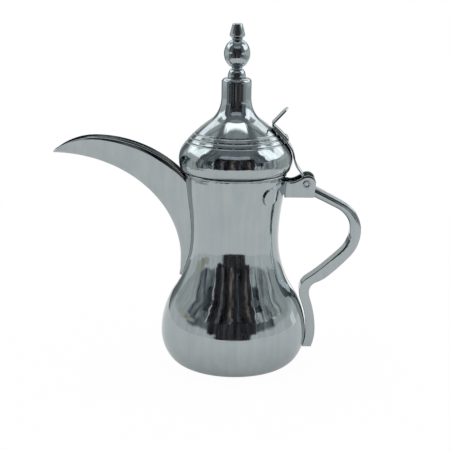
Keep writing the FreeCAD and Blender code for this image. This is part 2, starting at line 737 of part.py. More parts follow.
def handle_upper_plug():
    """Block held between the cheeks, with a tongue that fills the handle's upper end."""
    start, heading, thickness, _ = handle_stations()[0]
    right = start.x - PLUG_GAP
    foot = PIN.z - CHEEK_DROP + PLUG_FOOT_RISE
    corner = Vector(right - PLUG_LENGTH, -CHEEK_INSIDE, foot)
    block = Part.makeBox(PLUG_LENGTH, 2 * CHEEK_INSIDE, PLUG_HEIGHT, corner)
    inset = HANDLE_WALL + TONGUE_CLEARANCE
    front = start + heading * TONGUE_LENGTH
    near_pin = Vector(right, -HANDLE_WIDTH / 2, PIN.z - HANDLE_REACH_DROP)
    upper_end = Part.makeBox(front.x - right, HANDLE_WIDTH, HANDLE_REACH_DROP, near_pin)
    tongue = handle_bar(inset).common(upper_end)
    side = left_of(heading) * (thickness / 2 - inset)
    back = at(right - PLUG_GAP, start.z)
    half_neck = UP * (PLUG_NECK_HEIGHT / 2)
    corners = [start + side, start - side, back - half_neck, back + half_neck]
    neck = across(outline_face(corners), HANDLE_WIDTH - 2 * inset)
    return block.fuse([neck, tongue]).removeSplitter()


def spout_rim(share):
    """Point on the rim's side view; the share runs from the tip to inside the neck."""
    right_end = -WAIST_RADIUS + SPOUT_RUN_IN
    x = SPOUT_TIP.x + (right_end - SPOUT_TIP.x) * share
    away = x - SPOUT_CREST.x
    curve = SPOUT_CREST_CURVE if away > 0 else SPOUT_NOSE_CURVE
    return at(x, SPOUT_CREST.z - curve + math.sqrt(curve ** 2 - away ** 2))


def spout_keel(share):
    """Point on the keel, a quarter of an ellipse from the tip down to the belly."""
    turn = math.radians(SPOUT_KEEL_SWEEP * share)
    x = SPOUT_TIP.x + (SPOUT_ROOT.x - SPOUT_TIP.x) * math.sin(turn)
    z = SPOUT_ROOT.z + (SPOUT_TIP.z - SPOUT_ROOT.z) * math.cos(turn)
    return at(x, z)


def spout_section(share, inset, inward):
    """Section across the trough: a sharp keel, two rounded sides and an open top."""
    keel, rim = spout_keel(share), spout_rim(share)
    deep = (rim - keel).normalize()
    opening = math.tanh(math.sqrt((rim.x - SPOUT_TIP.x) / SPOUT_WIDENING))
    half = SPOUT_TIP_HALF_WIDTH + (SPOUT_HALF_WIDTH - SPOUT_TIP_HALF_WIDTH) * opening
    keel = keel + inward + deep * (2 * inset)
    top = rim + inward + deep * inset
    out = Vector(0, half - inset, 0)
    swell = Vector(0, SPOUT_BELLY * opening, 0)
    near, far = top - out, top + out
    near_side = Part.Arc(keel, (keel + near) * 0.5 - swell, near).toShape()
    far_side = Part.Arc(far, (keel + far) * 0.5 + swell, keel).toShape()
    return Part.Wire([near_side, Part.makeLine(near, far), far_side])


def spout_solid(inset):
    """The trough filled up, thinner by an inset; its root runs into the body."""
    first = SPOUT_SOLID_NOSE_SHARE if inset else SPOUT_TIP_SHARE
    sections = []
    for step in range(SPOUT_SECTIONS):
        share = first + (1 - first) * step / (SPOUT_SECTIONS - 1)
        sections.append(spout_section(share, inset, ORIGIN))
    inward = Vector(SPOUT_ROOT_DEPTH, 0, -SPOUT_ROOT_SINK)
    sections.append(spout_section(1, inset, inward))
    return Part.makeLoft(sections, True, False)


def spout_near_half():
    """Near half of the pressed trough, cut at the middle plane and at the body."""
    trough = spout_solid(0).cut(spout_solid(SPOUT_WALL)).cut(body_filled(SPOUT_GAP))
    span = 2 * (SPOUT_TIP - at(0, 0)).Length
    near_side = Part.makeBox(span, span, span, Vector(-span, -span, 0))
    return trough.common(near_side)


os.makedirs("parts", exist_ok=True)
save("body_shell", body_shell())
save("base_disc", base_disc())
save("neck_ring", neck_ring())
near_half = spout_near_half()
save("spout_near_half", near_half)
save("spout_far_half", mirrored(near_half))
near_bracket = bracket_near()
save("bracket_near", near_bracket)
save("bracket_far", mirrored(near_bracket))
save("handle", handle())
save("handle_upper_plug", handle_upper_plug())
save("handle_end_cap", handle_end_cap())
save("hinge_pin", hinge_pin())
save("lid_shell", lid_shell())
save("lid_strap", lid_strap())
save("thumb_tab", thumb_tab())
save("strap_rivets", strap_rivets())
save("finial_bell", finial_bell())
save("finial_ball", finial_ball())
save("finial_tip", finial_tip())
save("finial_stud", finial_stud())
save("finial_nut", finial_nut())
save("finial_washer", finial_washer())
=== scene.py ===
# %% [markdown]
# # A dallah in polished steel
# A dallah is the Arabic coffee pot: a pear-shaped body, a long beak, a domed lid with a spire
# and a bent handle. Almost everything on it is thin sheet that was spun or pressed and then
# buffed to a mirror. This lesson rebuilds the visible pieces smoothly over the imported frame.
# Lengths are typed in millimetres, as on a drawing, and turned to metres where they are used.

# %% Load the frame
import math
import bpy
from mathutils import Matrix, Vector


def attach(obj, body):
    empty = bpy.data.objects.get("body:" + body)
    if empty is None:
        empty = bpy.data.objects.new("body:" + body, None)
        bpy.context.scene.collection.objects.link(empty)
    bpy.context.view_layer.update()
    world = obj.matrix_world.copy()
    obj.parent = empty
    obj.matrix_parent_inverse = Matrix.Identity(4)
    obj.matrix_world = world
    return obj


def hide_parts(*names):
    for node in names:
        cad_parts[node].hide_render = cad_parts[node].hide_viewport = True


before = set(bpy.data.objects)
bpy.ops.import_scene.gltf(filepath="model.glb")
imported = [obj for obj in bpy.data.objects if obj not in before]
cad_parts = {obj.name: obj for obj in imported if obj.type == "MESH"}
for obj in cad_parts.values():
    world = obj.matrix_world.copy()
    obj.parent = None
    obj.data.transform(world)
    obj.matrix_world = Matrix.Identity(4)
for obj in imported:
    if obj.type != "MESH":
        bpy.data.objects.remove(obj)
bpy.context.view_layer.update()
MM = 0.001
bpy.context.scene.view_settings.view_transform = "Standard"
print("nodes in the frame:", len(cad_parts))

# %% [markdown]
# ## The camera
# The picture is square, 450 by 450 pixels. The pot is seen from slightly above, from about
# 1.1 m away. A lens of 104 mm on a 36 mm sensor gives the flat perspective of a product picture.
# The camera leans a little to one side, so its roll is turned about its own line of sight.

# %% Camera
tilt = Matrix.Rotation(math.radians(76.1), 4, "X")
roll = Matrix.Rotation(math.radians(0.75), 4, "Z")
bpy.ops.object.select_all(action="DESELECT")
bpy.ops.object.camera_add(location=(-0.00844, -1.09912, 0.3976))
camera = bpy.context.object
camera.name = "camera"
camera.rotation_euler = (tilt @ roll).to_euler()
camera.data.lens = 104
camera.data.sensor_width = 36
bpy.context.scene.camera = camera
print("camera height in mm:", round(camera.location.z / MM))

# %% [markdown]
# ## Two small tools for nodes and colours
# Colours are written as sRGB hex values, the way a paint chart gives them, and the shaders want
# linear light, so one function turns them. One more function adds a node, sets its settings and
# fills or links its sockets. Everything else is ordinary node work.


# %% Colours and nodes
def linear(hex_value, strength=1.0):
    """An sRGB hex value as linear red, green, blue and alpha."""
    channels = [int(hex_value[place:place + 2], 16) / 255 for place in (1, 3, 5)]
    light = [c / 12.92 if c <= 0.04045 else ((c + 0.055) / 1.055) ** 2.4 for c in channels]
    return (*[strength * c for c in light], 1.0)


def add_node(tree, kind, settings=None, inputs=None):
    """Adds a node, sets its settings, and fills each named input or links a socket to it."""
    node = tree.nodes.new(kind)
    for name, value in (settings or {}).items():
        setattr(node, name, value)
    for name, value in (inputs or {}).items():
        if isinstance(value, bpy.types.NodeSocket):
            tree.links.new(value, node.inputs[name])
        else:
            node.inputs[name].default_value = value
    return node


print("table paint in linear light:", [round(c, 3) for c in linear("#EEEFEE")[:3]])

# %% [markdown]
# ## The studio
# Polished steel has hardly any colour of its own: what we see is the room. The light on the
# floor is plain and white. Only mirror rays see the studio round the pot: streaky grey walls, a
# folded dark drape in front, white windows at both sides, a soft box overhead and a bright wall
# high at the back. It could all be built from cards, but things that are far away need only a
# direction, so each is a field of directions with soft borders. A bearing is counted from the
# front to the right, a height from the horizon up, an arch from the front over the top to the
# back, and a side is how far a direction leans to the right.

# %% Directions in the studio
world = bpy.data.worlds.new("studio")
bpy.context.scene.world = world
world.use_nodes = True
sky = world.node_tree
sky.nodes.clear()
direction = add_node(sky, "ShaderNodeTexCoord").outputs["Generated"]
axes = add_node(sky, "ShaderNodeSeparateXYZ", None, {0: direction})
front = add_node(sky, "ShaderNodeMath", {"operation": "MULTIPLY"}, {0: axes.outputs[1], 1: -1.0})
ripple = add_node(sky, "ShaderNodeTexNoise", None, {"Vector": direction, "Scale": 4.0, "Detail": 2.0})
shift = add_node(sky, "ShaderNodeMapRange", None, {
    "Value": ripple.outputs[0], "To Min": math.radians(-4), "To Max": math.radians(4)})
level = add_node(sky, "ShaderNodeMath", {"operation": "ARCSINE"}, {0: axes.outputs[2]})
round_pot = add_node(sky, "ShaderNodeMath", {"operation": "ARCTAN2"}, {
    0: axes.outputs[0], 1: front.outputs[0]})
ANGLES = {
    "bearing": add_node(sky, "ShaderNodeMath", None, {0: round_pot.outputs[0], 1: shift.outputs[0]}),
    "height": add_node(sky, "ShaderNodeMath", None, {0: level.outputs[0], 1: shift.outputs[0]}),
    "arch": add_node(sky, "ShaderNodeMath", {"operation": "ARCTAN2"}, {
        0: axes.outputs[2], 1: front.outputs[0]}),
    "side": add_node(sky, "ShaderNodeMath", {"operation": "ARCSINE"}, {0: axes.outputs[0]}),
}
print("angles in the studio:", list(ANGLES))


# %% Laying streaky fields
def lay_fields(tree, fields, places, fold_scale):
    """Lays each field over the ones before it, in two tints that alternate in streaks. Gives
    the colour and how far the fields cover the ground."""
    across, upwards = places["bearing"], places.get("height") or places["rise"]
    flat_map = add_node(tree, "ShaderNodeCombineXYZ", None, {0: across.outputs[0], 1: upwards.outputs[0]})
    folds = add_node(tree, "ShaderNodeMapping", None, {
        "Vector": flat_map.outputs[0], "Scale": fold_scale})
    streaks = add_node(tree, "ShaderNodeTexNoise", None, {
        "Vector": folds.outputs[0], "Scale": 1.0, "Detail": 4.0, "Roughness": 0.62})
    streak = add_node(tree, "ShaderNodeMapRange", None, {
        "Value": streaks.outputs[0], "From Min": 0.36, "From Max": 0.64}).outputs[0]
    colour, cover = (0, 0, 0, 1), 0.0
    for kind, left, right, low, high, soft, dark_tint, light_tint, strength in fields:
        across, upwards = kind.split()
        field = None
        for name, border, inward in (
                (across, left, 1), (across, right, -1), (upwards, low, 1), (upwards, high, -1)):
            unit = MM if name == "rise" else math.radians(1)
            inside = add_node(tree, "ShaderNodeMapRange", {"interpolation_type": "SMOOTHSTEP"}, {
                "Value": places[name].outputs[0], "From Min": (border - inward * soft / 2) * unit,
                "From Max": (border + inward * soft / 2) * unit})
            if field:
                inside = add_node(tree, "ShaderNodeMath", {"operation": "MULTIPLY"}, {
                    0: field.outputs[0], 1: inside.outputs[0]})
            field = inside
        tinted = add_node(tree, "ShaderNodeMix", {"data_type": "RGBA"}, {
            0: streak, 6: linear(dark_tint, strength), 7: linear(light_tint, strength)})
        colour = add_node(tree, "ShaderNodeMix", {"data_type": "RGBA"}, {
            0: field.outputs[0], 6: colour, 7: tinted.outputs[2]}).outputs[2]
        cover = add_node(tree, "ShaderNodeMix", {"data_type": "FLOAT"}, {
            0: field.outputs[0], 2: cover, 3: 1.0}).outputs[0]
    return colour, cover


print("each field has four soft borders and two tints")

# %% Fields in the studio
STUDIO = [
    # kind of angles, four borders, softness in degrees, two tints that alternate, strength
    ("bearing height", -200, 200, -100, 100, 1, "#BABFBD", "#DCE0DE", 1.0),
    ("bearing height", 138, 200, -40, 22, 8, "#5A6063", "#8A9092", 1.0),
    ("bearing height", -200, -138, -40, 22, 8, "#5A6063", "#8A9092", 1.0),
    ("bearing height", 158, 200, -3, 34, 5, "#B4BABA", "#D8DCDC", 1.0),
    ("bearing height", -200, -158, -3, 34, 5, "#B4BABA", "#D8DCDC", 1.0),
    ("bearing height", -200, 200, 50, 74, 5, "#70767A", "#8E9496", 1.0),
    ("bearing height", -200, 200, 73, 100, 6, "#A0A6A8", "#B4B9BA", 1.0),
    ("side arch", -55, 55, 116, 152, 8, "#FFFFFF", "#D6DCDC", 1.9),
    ("side arch", -17, 17, 95, 112, 5, "#FFFFFF", "#F2F5F5", 2.6),
    ("bearing height", -130, 130, -12, 8, 4, "#D6DADA", "#ECEFEF", 1.0),
    ("bearing height", -84, -40, 8, 54, 5, "#4C5257", "#8F969A", 1.0),
    ("bearing height", 35, 72, 7, 54, 5, "#4C5257", "#8F969A", 1.0),
    ("bearing height", -128, -84, 22, 54, 5, "#FFFFFF", "#C9CFCF", 2.5),
    ("bearing height", 70, 128, 17, 54, 5, "#FFFFFF", "#C9CFCF", 2.5),
    ("bearing height", -135, -106, 36, 60, 6, "#8D9493", "#DCE1E0", 1.0),
    ("bearing height", 102, 135, 36, 60, 6, "#8D9493", "#DCE1E0", 1.0),
    ("bearing height", 150, 170, -24, 2, 6, "#FFFFFF", "#E8ECEC", 1.6),
    ("bearing height", -42, 37, 4, 37, 3, "#000002", "#555255", 1.0),
    ("bearing height", -31, 27, -40, 12, 5, "#000002", "#555255", 1.0),
    ("bearing height", -41, 36, 37, 45, 2.5, "#AEB2BE", "#C6C9D2", 1.0),
]
room_light, _ = lay_fields(sky, STUDIO, ANGLES, (9.0, 0.9, 1.0))
print("studio fields:", len(STUDIO))

# %% Who sees the studio
ray = add_node(sky, "ShaderNodeLightPath")
mirror = add_node(sky, "ShaderNodeMath", {"operation": "MAXIMUM"}, {
    0: ray.outputs["Is Glossy Ray"], 1: ray.outputs["Is Transmission Ray"]})
seen = add_node(sky, "ShaderNodeMix", {"data_type": "RGBA"}, {
    0: mirror.outputs[0], 6: (1, 1, 1, 1), 7: room_light})
glow = add_node(sky, "ShaderNodeBackground", None, {"Color": seen.outputs[2], "Strength": 1.0})
add_node(sky, "ShaderNodeOutputWorld", None, {"Surface": glow.outputs[0]})
print("nodes in the world:", len(sky.nodes))

# %% [markdown]
# ## Cards round the pot
# Things far away look the same from the belly and from the lid. Things close by don't: the belly
# looks up at them and the lid looks over them. So a ring of cards stands round the pot: pale
# ones at both sides, grey screens, a bright strip, and the upper part of the drape with the
# folds that catch some light. It could be many small planes, but one open tube carries them
# all. Only mirror rays see it, and it is clear between the cards.

# %% Cards
CARDS = [
    # bearing in degrees and rise in millimetres: four borders, softness, two tints, strength
    ("bearing rise", -125, -70, 112, 215, 8, "#B0B5B4", "#D2D6D5", 1.0),
    ("bearing rise", 78, 125, 112, 215, 8, "#B0B5B4", "#D2D6D5", 1.0),
    ("bearing rise", -98, -62, 92, 116, 8, "#A9A392", "#D9D8CF", 1.0),
    ("bearing rise", 98, 107, 20, 80, 3, "#FFFFFF", "#E8ECEC", 1.3),
    ("bearing rise", -78, -41, 128, 262, 8, "#30373C", "#A6AEB0", 1.0),
    ("bearing rise", 36, 84, 124, 246, 8, "#42494E", "#E2E8E8", 1.0),
    ("bearing rise", -58, -41, 190, 262, 8, "#16191C", "#5A6166", 1.0),
    ("bearing rise", 36, 52, 190, 246, 8, "#16191C", "#5A6166", 1.0),
    ("bearing rise", -41, 36, 130, 335, 3, "#000002", "#464346", 1.0),
    ("bearing rise", -28, -22, 130, 300, 4, "#0C0C0F", "#8E8D92", 1.0),
    ("bearing rise", -9, -4, 130, 345, 4, "#100E0D", "#998F86", 1.0),
    ("bearing rise", 8, 11, 150, 345, 3, "#0E1016", "#8D93A6", 1.0),
    ("bearing rise", 23, 28, 130, 290, 4, "#100E0D", "#958D86", 1.0),
    ("bearing rise", -43.5, -41, 122, 255, 1.5, "#C9CECF", "#F2F5F5", 1.0),
    ("bearing rise", 35.5, 37.5, 118, 250, 1.5, "#C9CECF", "#F2F5F5", 1.0),
]
CARD_RADIUS = 0.26
CARD_HEIGHT = 0.34
bpy.ops.object.select_all(action="DESELECT")
bpy.ops.mesh.primitive_cylinder_add(
    vertices=128, radius=CARD_RADIUS, depth=CARD_HEIGHT, end_fill_type="NOTHING")
cards = bpy.context.object
cards.name = "cards_round_the_pot"
bpy.ops.transform.translate(value=(0, 0, CARD_HEIGHT / 2))
bpy.ops.object.transform_apply(location=True)
cards.visible_camera = False
cards.visible_diffuse = False
cards.visible_shadow = False
card_stock = bpy.data.materials.new("painted_card_and_cloth")
card_stock.use_nodes = True
tree = card_stock.node_tree
tree.nodes.clear()
where = add_node(tree, "ShaderNodeTexCoord").outputs["Object"]
axes = add_node(tree, "ShaderNodeSeparateXYZ", None, {0: where})
front = add_node(tree, "ShaderNodeMath", {"operation": "MULTIPLY"}, {0: axes.outputs[1], 1: -1.0})
ripple = add_node(tree, "ShaderNodeTexNoise", None, {"Vector": where, "Scale": 18.0, "Detail": 3.0})
shift = add_node(tree, "ShaderNodeMapRange", None, {
    "Value": ripple.outputs[0], "To Min": math.radians(-5), "To Max": math.radians(5)})
sway = add_node(tree, "ShaderNodeMapRange", None, {
    "Value": ripple.outputs[0], "To Min": -20 * MM, "To Max": 20 * MM})
round_pot = add_node(tree, "ShaderNodeMath", {"operation": "ARCTAN2"}, {
    0: axes.outputs[0], 1: front.outputs[0]})
PLACES = {
    "bearing": add_node(tree, "ShaderNodeMath", None, {0: round_pot.outputs[0], 1: shift.outputs[0]}),
    "rise": add_node(tree, "ShaderNodeMath", None, {0: axes.outputs[2], 1: sway.outputs[0]}),
}
card_light, card_cover = lay_fields(tree, CARDS, PLACES, (9.0, 4.0, 1.0))
gap = add_node(tree, "ShaderNodeMath", {"operation": "SUBTRACT"}, {0: 1.0, 1: card_cover})
clear = add_node(tree, "ShaderNodeBsdfTransparent", None, {"Color": gap.outputs[0]})
lit = add_node(tree, "ShaderNodeEmission", None, {"Color": card_light, "Strength": 1.0})
stood = add_node(tree, "ShaderNodeAddShader", None, {0: clear.outputs[0], 1: lit.outputs[0]})
add_node(tree, "ShaderNodeOutputMaterial", None, {"Surface": stood.outputs[0]})
cards.data.materials.append(card_stock)
print("cards round the pot:", len(CARDS))

# %% [markdown]
# ## The floor
# The pot stands on a plain white table, whose edges are near enough for the steel to mirror the
# darker room beyond. The white that the camera sees is mostly a steady glow, so it stays clean.
# Mirror rays see less of the glow and more of the paint, which keeps the pot's own shadow.

# %% Floor
TABLE_EDGES = {"front": (0, -0.95), "back": (0, 0.6), "right": (0.9, 0), "left": (-0.95, 0)}
CAMERA_GLOW = 0.97
MIRROR_GLOW = 0.2
bpy.ops.object.select_all(action="DESELECT")
bpy.ops.mesh.primitive_plane_add(size=4.0)
floor = bpy.context.object
floor.name = "floor"
bpy.ops.object.mode_set(mode="EDIT")
for edge in TABLE_EDGES.values():
    bpy.ops.mesh.select_all(action="SELECT")
    outward = Vector((*edge, 0)).normalized()
    bpy.ops.mesh.bisect(plane_co=(*edge, 0), plane_no=outward, clear_outer=True)
bpy.ops.object.mode_set(mode="OBJECT")
paint = bpy.data.materials.new("white_painted_table")
paint.use_nodes = True
tree = paint.node_tree
tree.nodes.clear()
ray = add_node(tree, "ShaderNodeLightPath")
mirror = add_node(tree, "ShaderNodeMath", {"operation": "MAXIMUM"}, {
    0: ray.outputs["Is Glossy Ray"], 1: ray.outputs["Is Transmission Ray"]})
mirror = add_node(tree, "ShaderNodeMath", {"operation": "MULTIPLY"}, {
    0: mirror.outputs[0], 1: MIRROR_GLOW})
direct = add_node(tree, "ShaderNodeMath", {"operation": "MULTIPLY"}, {
    0: ray.outputs["Is Camera Ray"], 1: CAMERA_GLOW})
share = add_node(tree, "ShaderNodeMath", {"operation": "MAXIMUM"}, {
    0: direct.outputs[0], 1: mirror.outputs[0]})
matt = add_node(tree, "ShaderNodeBsdfDiffuse", None, {"Color": linear("#EEEFEE")})
steady = add_node(tree, "ShaderNodeEmission", None, {"Color": (1, 1, 1, 1), "Strength": 1.0})
both = add_node(tree, "ShaderNodeMixShader", None, {
    0: share.outputs[0], 1: matt.outputs[0], 2: steady.outputs[0]})
add_node(tree, "ShaderNodeOutputMaterial", None, {"Surface": both.outputs[0]})
floor.data.materials.append(paint)
print("table corners:", [tuple(round(c, 2) for c in vertex.co) for vertex in floor.data.vertices])

# %% [markdown]
# ## Polished steel
# The body, lid, beak, handle and finial are stainless steel, spun or pressed and then buffed.
# To the eye that is a blue-grey mirror with rings from the buffing wheel, slow waves in the wall
# where the spinning tool passed, hairline scratches, dull finger marks and edges that rubbing
# has greyed. Real buffing rings are some 0.05 mm apart and real scratches 0.02 mm wide; they are
# drawn about 20 times coarser so that they show at all.

# %% Polished steel: finger marks, scratches and worn edges
steel = bpy.data.materials.new("buffed_stainless_steel")
steel.use_nodes = True
tree = steel.node_tree
shader = tree.nodes["Principled BSDF"]
shader.inputs["Metallic"].default_value = 1.0
where = add_node(tree, "ShaderNodeTexCoord").outputs["Object"]
axes = add_node(tree, "ShaderNodeSeparateXYZ", None, {0: where})
turn = add_node(tree, "ShaderNodeMath", {"operation": "ARCTAN2"}, {0: axes.outputs[1], 1: axes.outputs[0]})
smudges = add_node(tree, "ShaderNodeTexNoise", None, {
    "Vector": where, "Scale": 1 / (20 * MM), "Detail": 5.0, "Roughness": 0.6})
dulled = add_node(tree, "ShaderNodeMapRange", None, {
    "Value": smudges.outputs[0], "From Min": 0.42, "From Max": 0.72, "To Min": 0.03, "To Max": 0.11})
scrawl = add_node(tree, "ShaderNodeTexNoise", None, {
    "Vector": where, "Scale": 1 / (16 * MM), "Detail": 1.0, "Distortion": 2.5})
apart = add_node(tree, "ShaderNodeMath", {"operation": "SUBTRACT"}, {0: scrawl.outputs[0], 1: 0.5})
apart = add_node(tree, "ShaderNodeMath", {"operation": "ABSOLUTE"}, {0: apart.outputs[0]})
scratch = add_node(tree, "ShaderNodeMapRange", None, {
    "Value": apart.outputs[0], "From Max": 0.008, "To Min": 0.12, "To Max": 0.0})
edges = add_node(tree, "ShaderNodeNewGeometry").outputs["Pointiness"]
rubbed = add_node(tree, "ShaderNodeMapRange", None, {
    "Value": edges, "From Min": 0.53, "From Max": 0.62, "To Min": 0.0, "To Max": 0.14})
rough = add_node(tree, "ShaderNodeMath", None, {0: dulled.outputs[0], 1: scratch.outputs[0]})
rough = add_node(tree, "ShaderNodeMath", None, {0: rough.outputs[0], 1: rubbed.outputs[0]})
tree.links.new(rough.outputs[0], shader.inputs["Roughness"])
drawn = add_node(tree, "ShaderNodeMapping", None, {
    "Vector": where, "Scale": (1 / (5 * MM), 1 / (5 * MM), 1 / (150 * MM))})
polish = add_node(tree, "ShaderNodeTexNoise", None, {
    "Vector": drawn.outputs[0], "Scale": 1.0, "Detail": 2.0})
patchy = add_node(tree, "ShaderNodeMath", None, {0: polish.outputs[0], 1: smudges.outputs[0]})
patchy = add_node(tree, "ShaderNodeMapRange", None, {
    "Value": patchy.outputs[0], "From Min": 0.75, "From Max": 1.25})
tint = add_node(tree, "ShaderNodeMix", {"data_type": "RGBA"}, {
    0: patchy.outputs[0], 6: linear("#A3ACB0"), 7: linear("#ADB4B6")})
tree.links.new(tint.outputs[2], shader.inputs["Base Color"])
print("made", steel.name, "with worn roughness")

# %% Polished steel: buffing rings and waves
rings = add_node(tree, "ShaderNodeTexNoise", {"noise_dimensions": "1D"}, {
    "W": axes.outputs[2], "Scale": 1 / (1.0 * MM), "Detail": 2.0})
ring_bump = add_node(tree, "ShaderNodeBump", None, {
    "Height": rings.outputs[0], "Strength": 0.05, "Distance": 0.02 * MM})
waves = add_node(tree, "ShaderNodeTexNoise", {"noise_dimensions": "1D"}, {
    "W": turn.outputs[0], "Scale": 6.0, "Detail": 3.0})
wave_bump = add_node(tree, "ShaderNodeBump", None, {
    "Height": waves.outputs[0], "Strength": 0.3, "Distance": 0.35 * MM, "Normal": ring_bump.outputs[0]})
dents = add_node(tree, "ShaderNodeTexNoise", None, {"Vector": where, "Scale": 1 / (26 * MM), "Detail": 2.0})
dent_bump = add_node(tree, "ShaderNodeBump", None, {
    "Height": dents.outputs[0], "Strength": 0.3, "Distance": 0.35 * MM, "Normal": wave_bump.outputs[0]})
tree.links.new(dent_bump.outputs[0], shader.inputs["Normal"])
print("nodes in the steel:", len(tree.nodes))

# %% [markdown]
# ## Turned steel for rivets and hidden parts
# The rivets, the plug, the stud, its nut and the base were never buffed. They keep the satin
# of the lathe tool or of the rolled sheet: the same metal, but rougher and a little darker.

# %% Satin steel
satin = bpy.data.materials.new("satin_rolled_steel")
satin.use_nodes = True
tree = satin.node_tree
shader = tree.nodes["Principled BSDF"]
shader.inputs["Metallic"].default_value = 1.0
where = add_node(tree, "ShaderNodeTexCoord").outputs["Object"]
stretched = add_node(tree, "ShaderNodeMapping", None, {"Vector": where, "Scale": (1.0, 12.0, 1.0)})
grain = add_node(tree, "ShaderNodeTexNoise", None, {
    "Vector": stretched.outputs[0], "Scale": 1 / (6 * MM), "Detail": 3.0})
worn = add_node(tree, "ShaderNodeMapRange", None, {
    "Value": grain.outputs[0], "From Min": 0.3, "From Max": 0.7, "To Min": 0.14, "To Max": 0.32})
tree.links.new(worn.outputs[0], shader.inputs["Roughness"])
tone = add_node(tree, "ShaderNodeMix", {"data_type": "RGBA"}, {
    0: grain.outputs[0], 6: linear("#989C9D"), 7: linear("#B0B3B3")})
tree.links.new(tone.outputs[2], shader.inputs["Base Color"])
grain_bump = add_node(tree, "ShaderNodeBump", None, {
    "Height": grain.outputs[0], "Strength": 0.1, "Distance": 0.05 * MM})
tree.links.new(grain_bump.outputs[0], shader.inputs["Normal"])
print("made", satin.name)

# %% [markdown]
# ## Outlines made of arcs
# A spinner works from a template of arcs that run smoothly into each other. Two arcs can join
# any two points with given headings, so every outline here is a chain of such pairs. The first
# number of a point is the distance from the pot's axis (or X in a side view), the second is Z.


# %% Arcs for outlines
def lean(degrees):
    """Heading that leans this far outwards from straight up."""
    angle = math.radians(degrees)
    return Vector((math.sin(angle), math.cos(angle)))


def arc(start, leaving, end, count):
    """Points after the start on an arc that leaves along a heading, and its last heading."""
    chord = end - start
    bend = math.atan2(leaving.x * chord.y - leaving.y * chord.x, leaving.dot(chord))
    points = []
    for step in range(1, count + 1):
        turn = bend * step / count
        reach = math.sin(turn) / math.sin(bend) if abs(bend) > 1e-6 else step / count
        points.append(start + (Matrix.Rotation(turn, 2) @ leaving) * (chord.length * reach))
    return points, Matrix.Rotation(2 * bend, 2) @ leaving


def two_arcs(start, leaving, end, arriving, count=16, first=None):
    """Points after the start on two arcs that join two points along given headings."""
    span = end - start
    spread = 1 - leaving.dot(arriving)
    along = span.dot(leaving) + span.dot(arriving)
    if first is None and spread < 1e-9:
        first = span.dot(span) / (2 * along)
    elif first is None:
        first = (math.sqrt(along ** 2 + 2 * spread * span.dot(span)) - along) / (2 * spread)
    last = (span.dot(span) / 2 - first * span.dot(leaving)) / (span.dot(arriving) + first * spread)
    corner = start + leaving * first
    corner = corner + (end - arriving * last - corner) * (first / (first + last))
    points, heading = arc(start, leaving, corner, count)
    return points + arc(corner, heading, end, count)[0]


def at_height(outline, height):
    """Point and heading of a rising outline at a height."""
    for low, high in zip(outline, outline[1:]):
        if low.y <= height < high.y:
            return low.lerp(high, (height - low.y) / (high.y - low.y)), (high - low).normalized()
    raise ValueError("the outline doesn't reach this height")


def beside(outline, distance):
    """The outline moved outwards, to the right of its course."""
    moved = []
    for place, point in enumerate(outline):
        course = outline[min(place + 1, len(outline) - 1)] - outline[max(place - 1, 0)]
        moved.append(point + Vector((course.y, -course.x)).normalized() * distance)
    return moved


print("quarter turn by arcs:", arc(Vector((1, 0)), lean(0), Vector((0, 1)), 2)[0])

# %% [markdown]
# ## Drawing, spinning and finishing
# A line is drawn as by hand: a tiny plane is merged to one vertex, which is then extruded from
# point to point. Spinning that line round an axis gives a turned shape. Every piece ends in the
# same way: its place goes into its mesh, it gets a material, it rides on a body of the frame
# and it takes over from the frame's node. Most pieces are of polished steel.

# %% Drawing and finishing tools
SAME_PLACE = 0.001 * MM


def place(point, y=0.0):
    """A point of the side view, in millimetres, as a place in the scene."""
    return Vector((point.x, y, point.y)) * MM


def draw(points, closed=False):
    """Draws edges through places. Outside edit mode this starts a new piece."""
    if bpy.context.mode == "OBJECT":
        bpy.ops.object.select_all(action="DESELECT")
    else:
        bpy.ops.mesh.select_all(action="DESELECT")
    bpy.ops.mesh.primitive_plane_add(size=MM, location=points[0], enter_editmode=True)
    bpy.ops.mesh.merge(type="CENTER")
    path = points + points[:1] if closed else points
    for start, end in zip(path, path[1:]):
        bpy.ops.mesh.extrude_vertices_move(TRANSFORM_OT_translate={"value": end - start})
    bpy.ops.mesh.select_all(action="SELECT")
    bpy.ops.mesh.remove_doubles(threshold=SAME_PLACE)


def face_out():
    """Turns all faces of the piece in hand outwards."""
    bpy.ops.mesh.select_all(action="SELECT")
    bpy.ops.mesh.normals_make_consistent(inside=False)


def spin(steps, axis=(0, 0, 1), centre=(0, 0, 0)):
    """Turns the drawn line once round an axis and closes its seam and poles."""
    bpy.ops.mesh.spin(steps=steps, angle=2 * math.pi, center=centre, axis=axis)
    bpy.ops.mesh.select_all(action="SELECT")
    bpy.ops.mesh.remove_doubles(threshold=SAME_PLACE)
    face_out()


def bridge():
    """Joins the drawn lines, one to the next, to a skin."""
    bpy.ops.mesh.bridge_edge_loops()
    face_out()


def modify(kind, **settings):
    """Adds a modifier to the piece in hand, sets it and applies it."""
    bpy.ops.object.mode_set(mode="OBJECT")
    piece = bpy.context.object
    modifier = piece.modifiers.new(kind.lower(), kind)
    for name, value in settings.items():
        setattr(modifier, name, value)
    bpy.ops.object.modifier_apply(modifier=modifier.name)


def ease(width=0.25, angle=40):
    """Rounds the sharp edges of the piece in hand, as buffing does."""
    modify("BEVEL", width=width * MM, segments=3, limit_method="ANGLE",
           angle_limit=math.radians(angle), harden_normals=False)


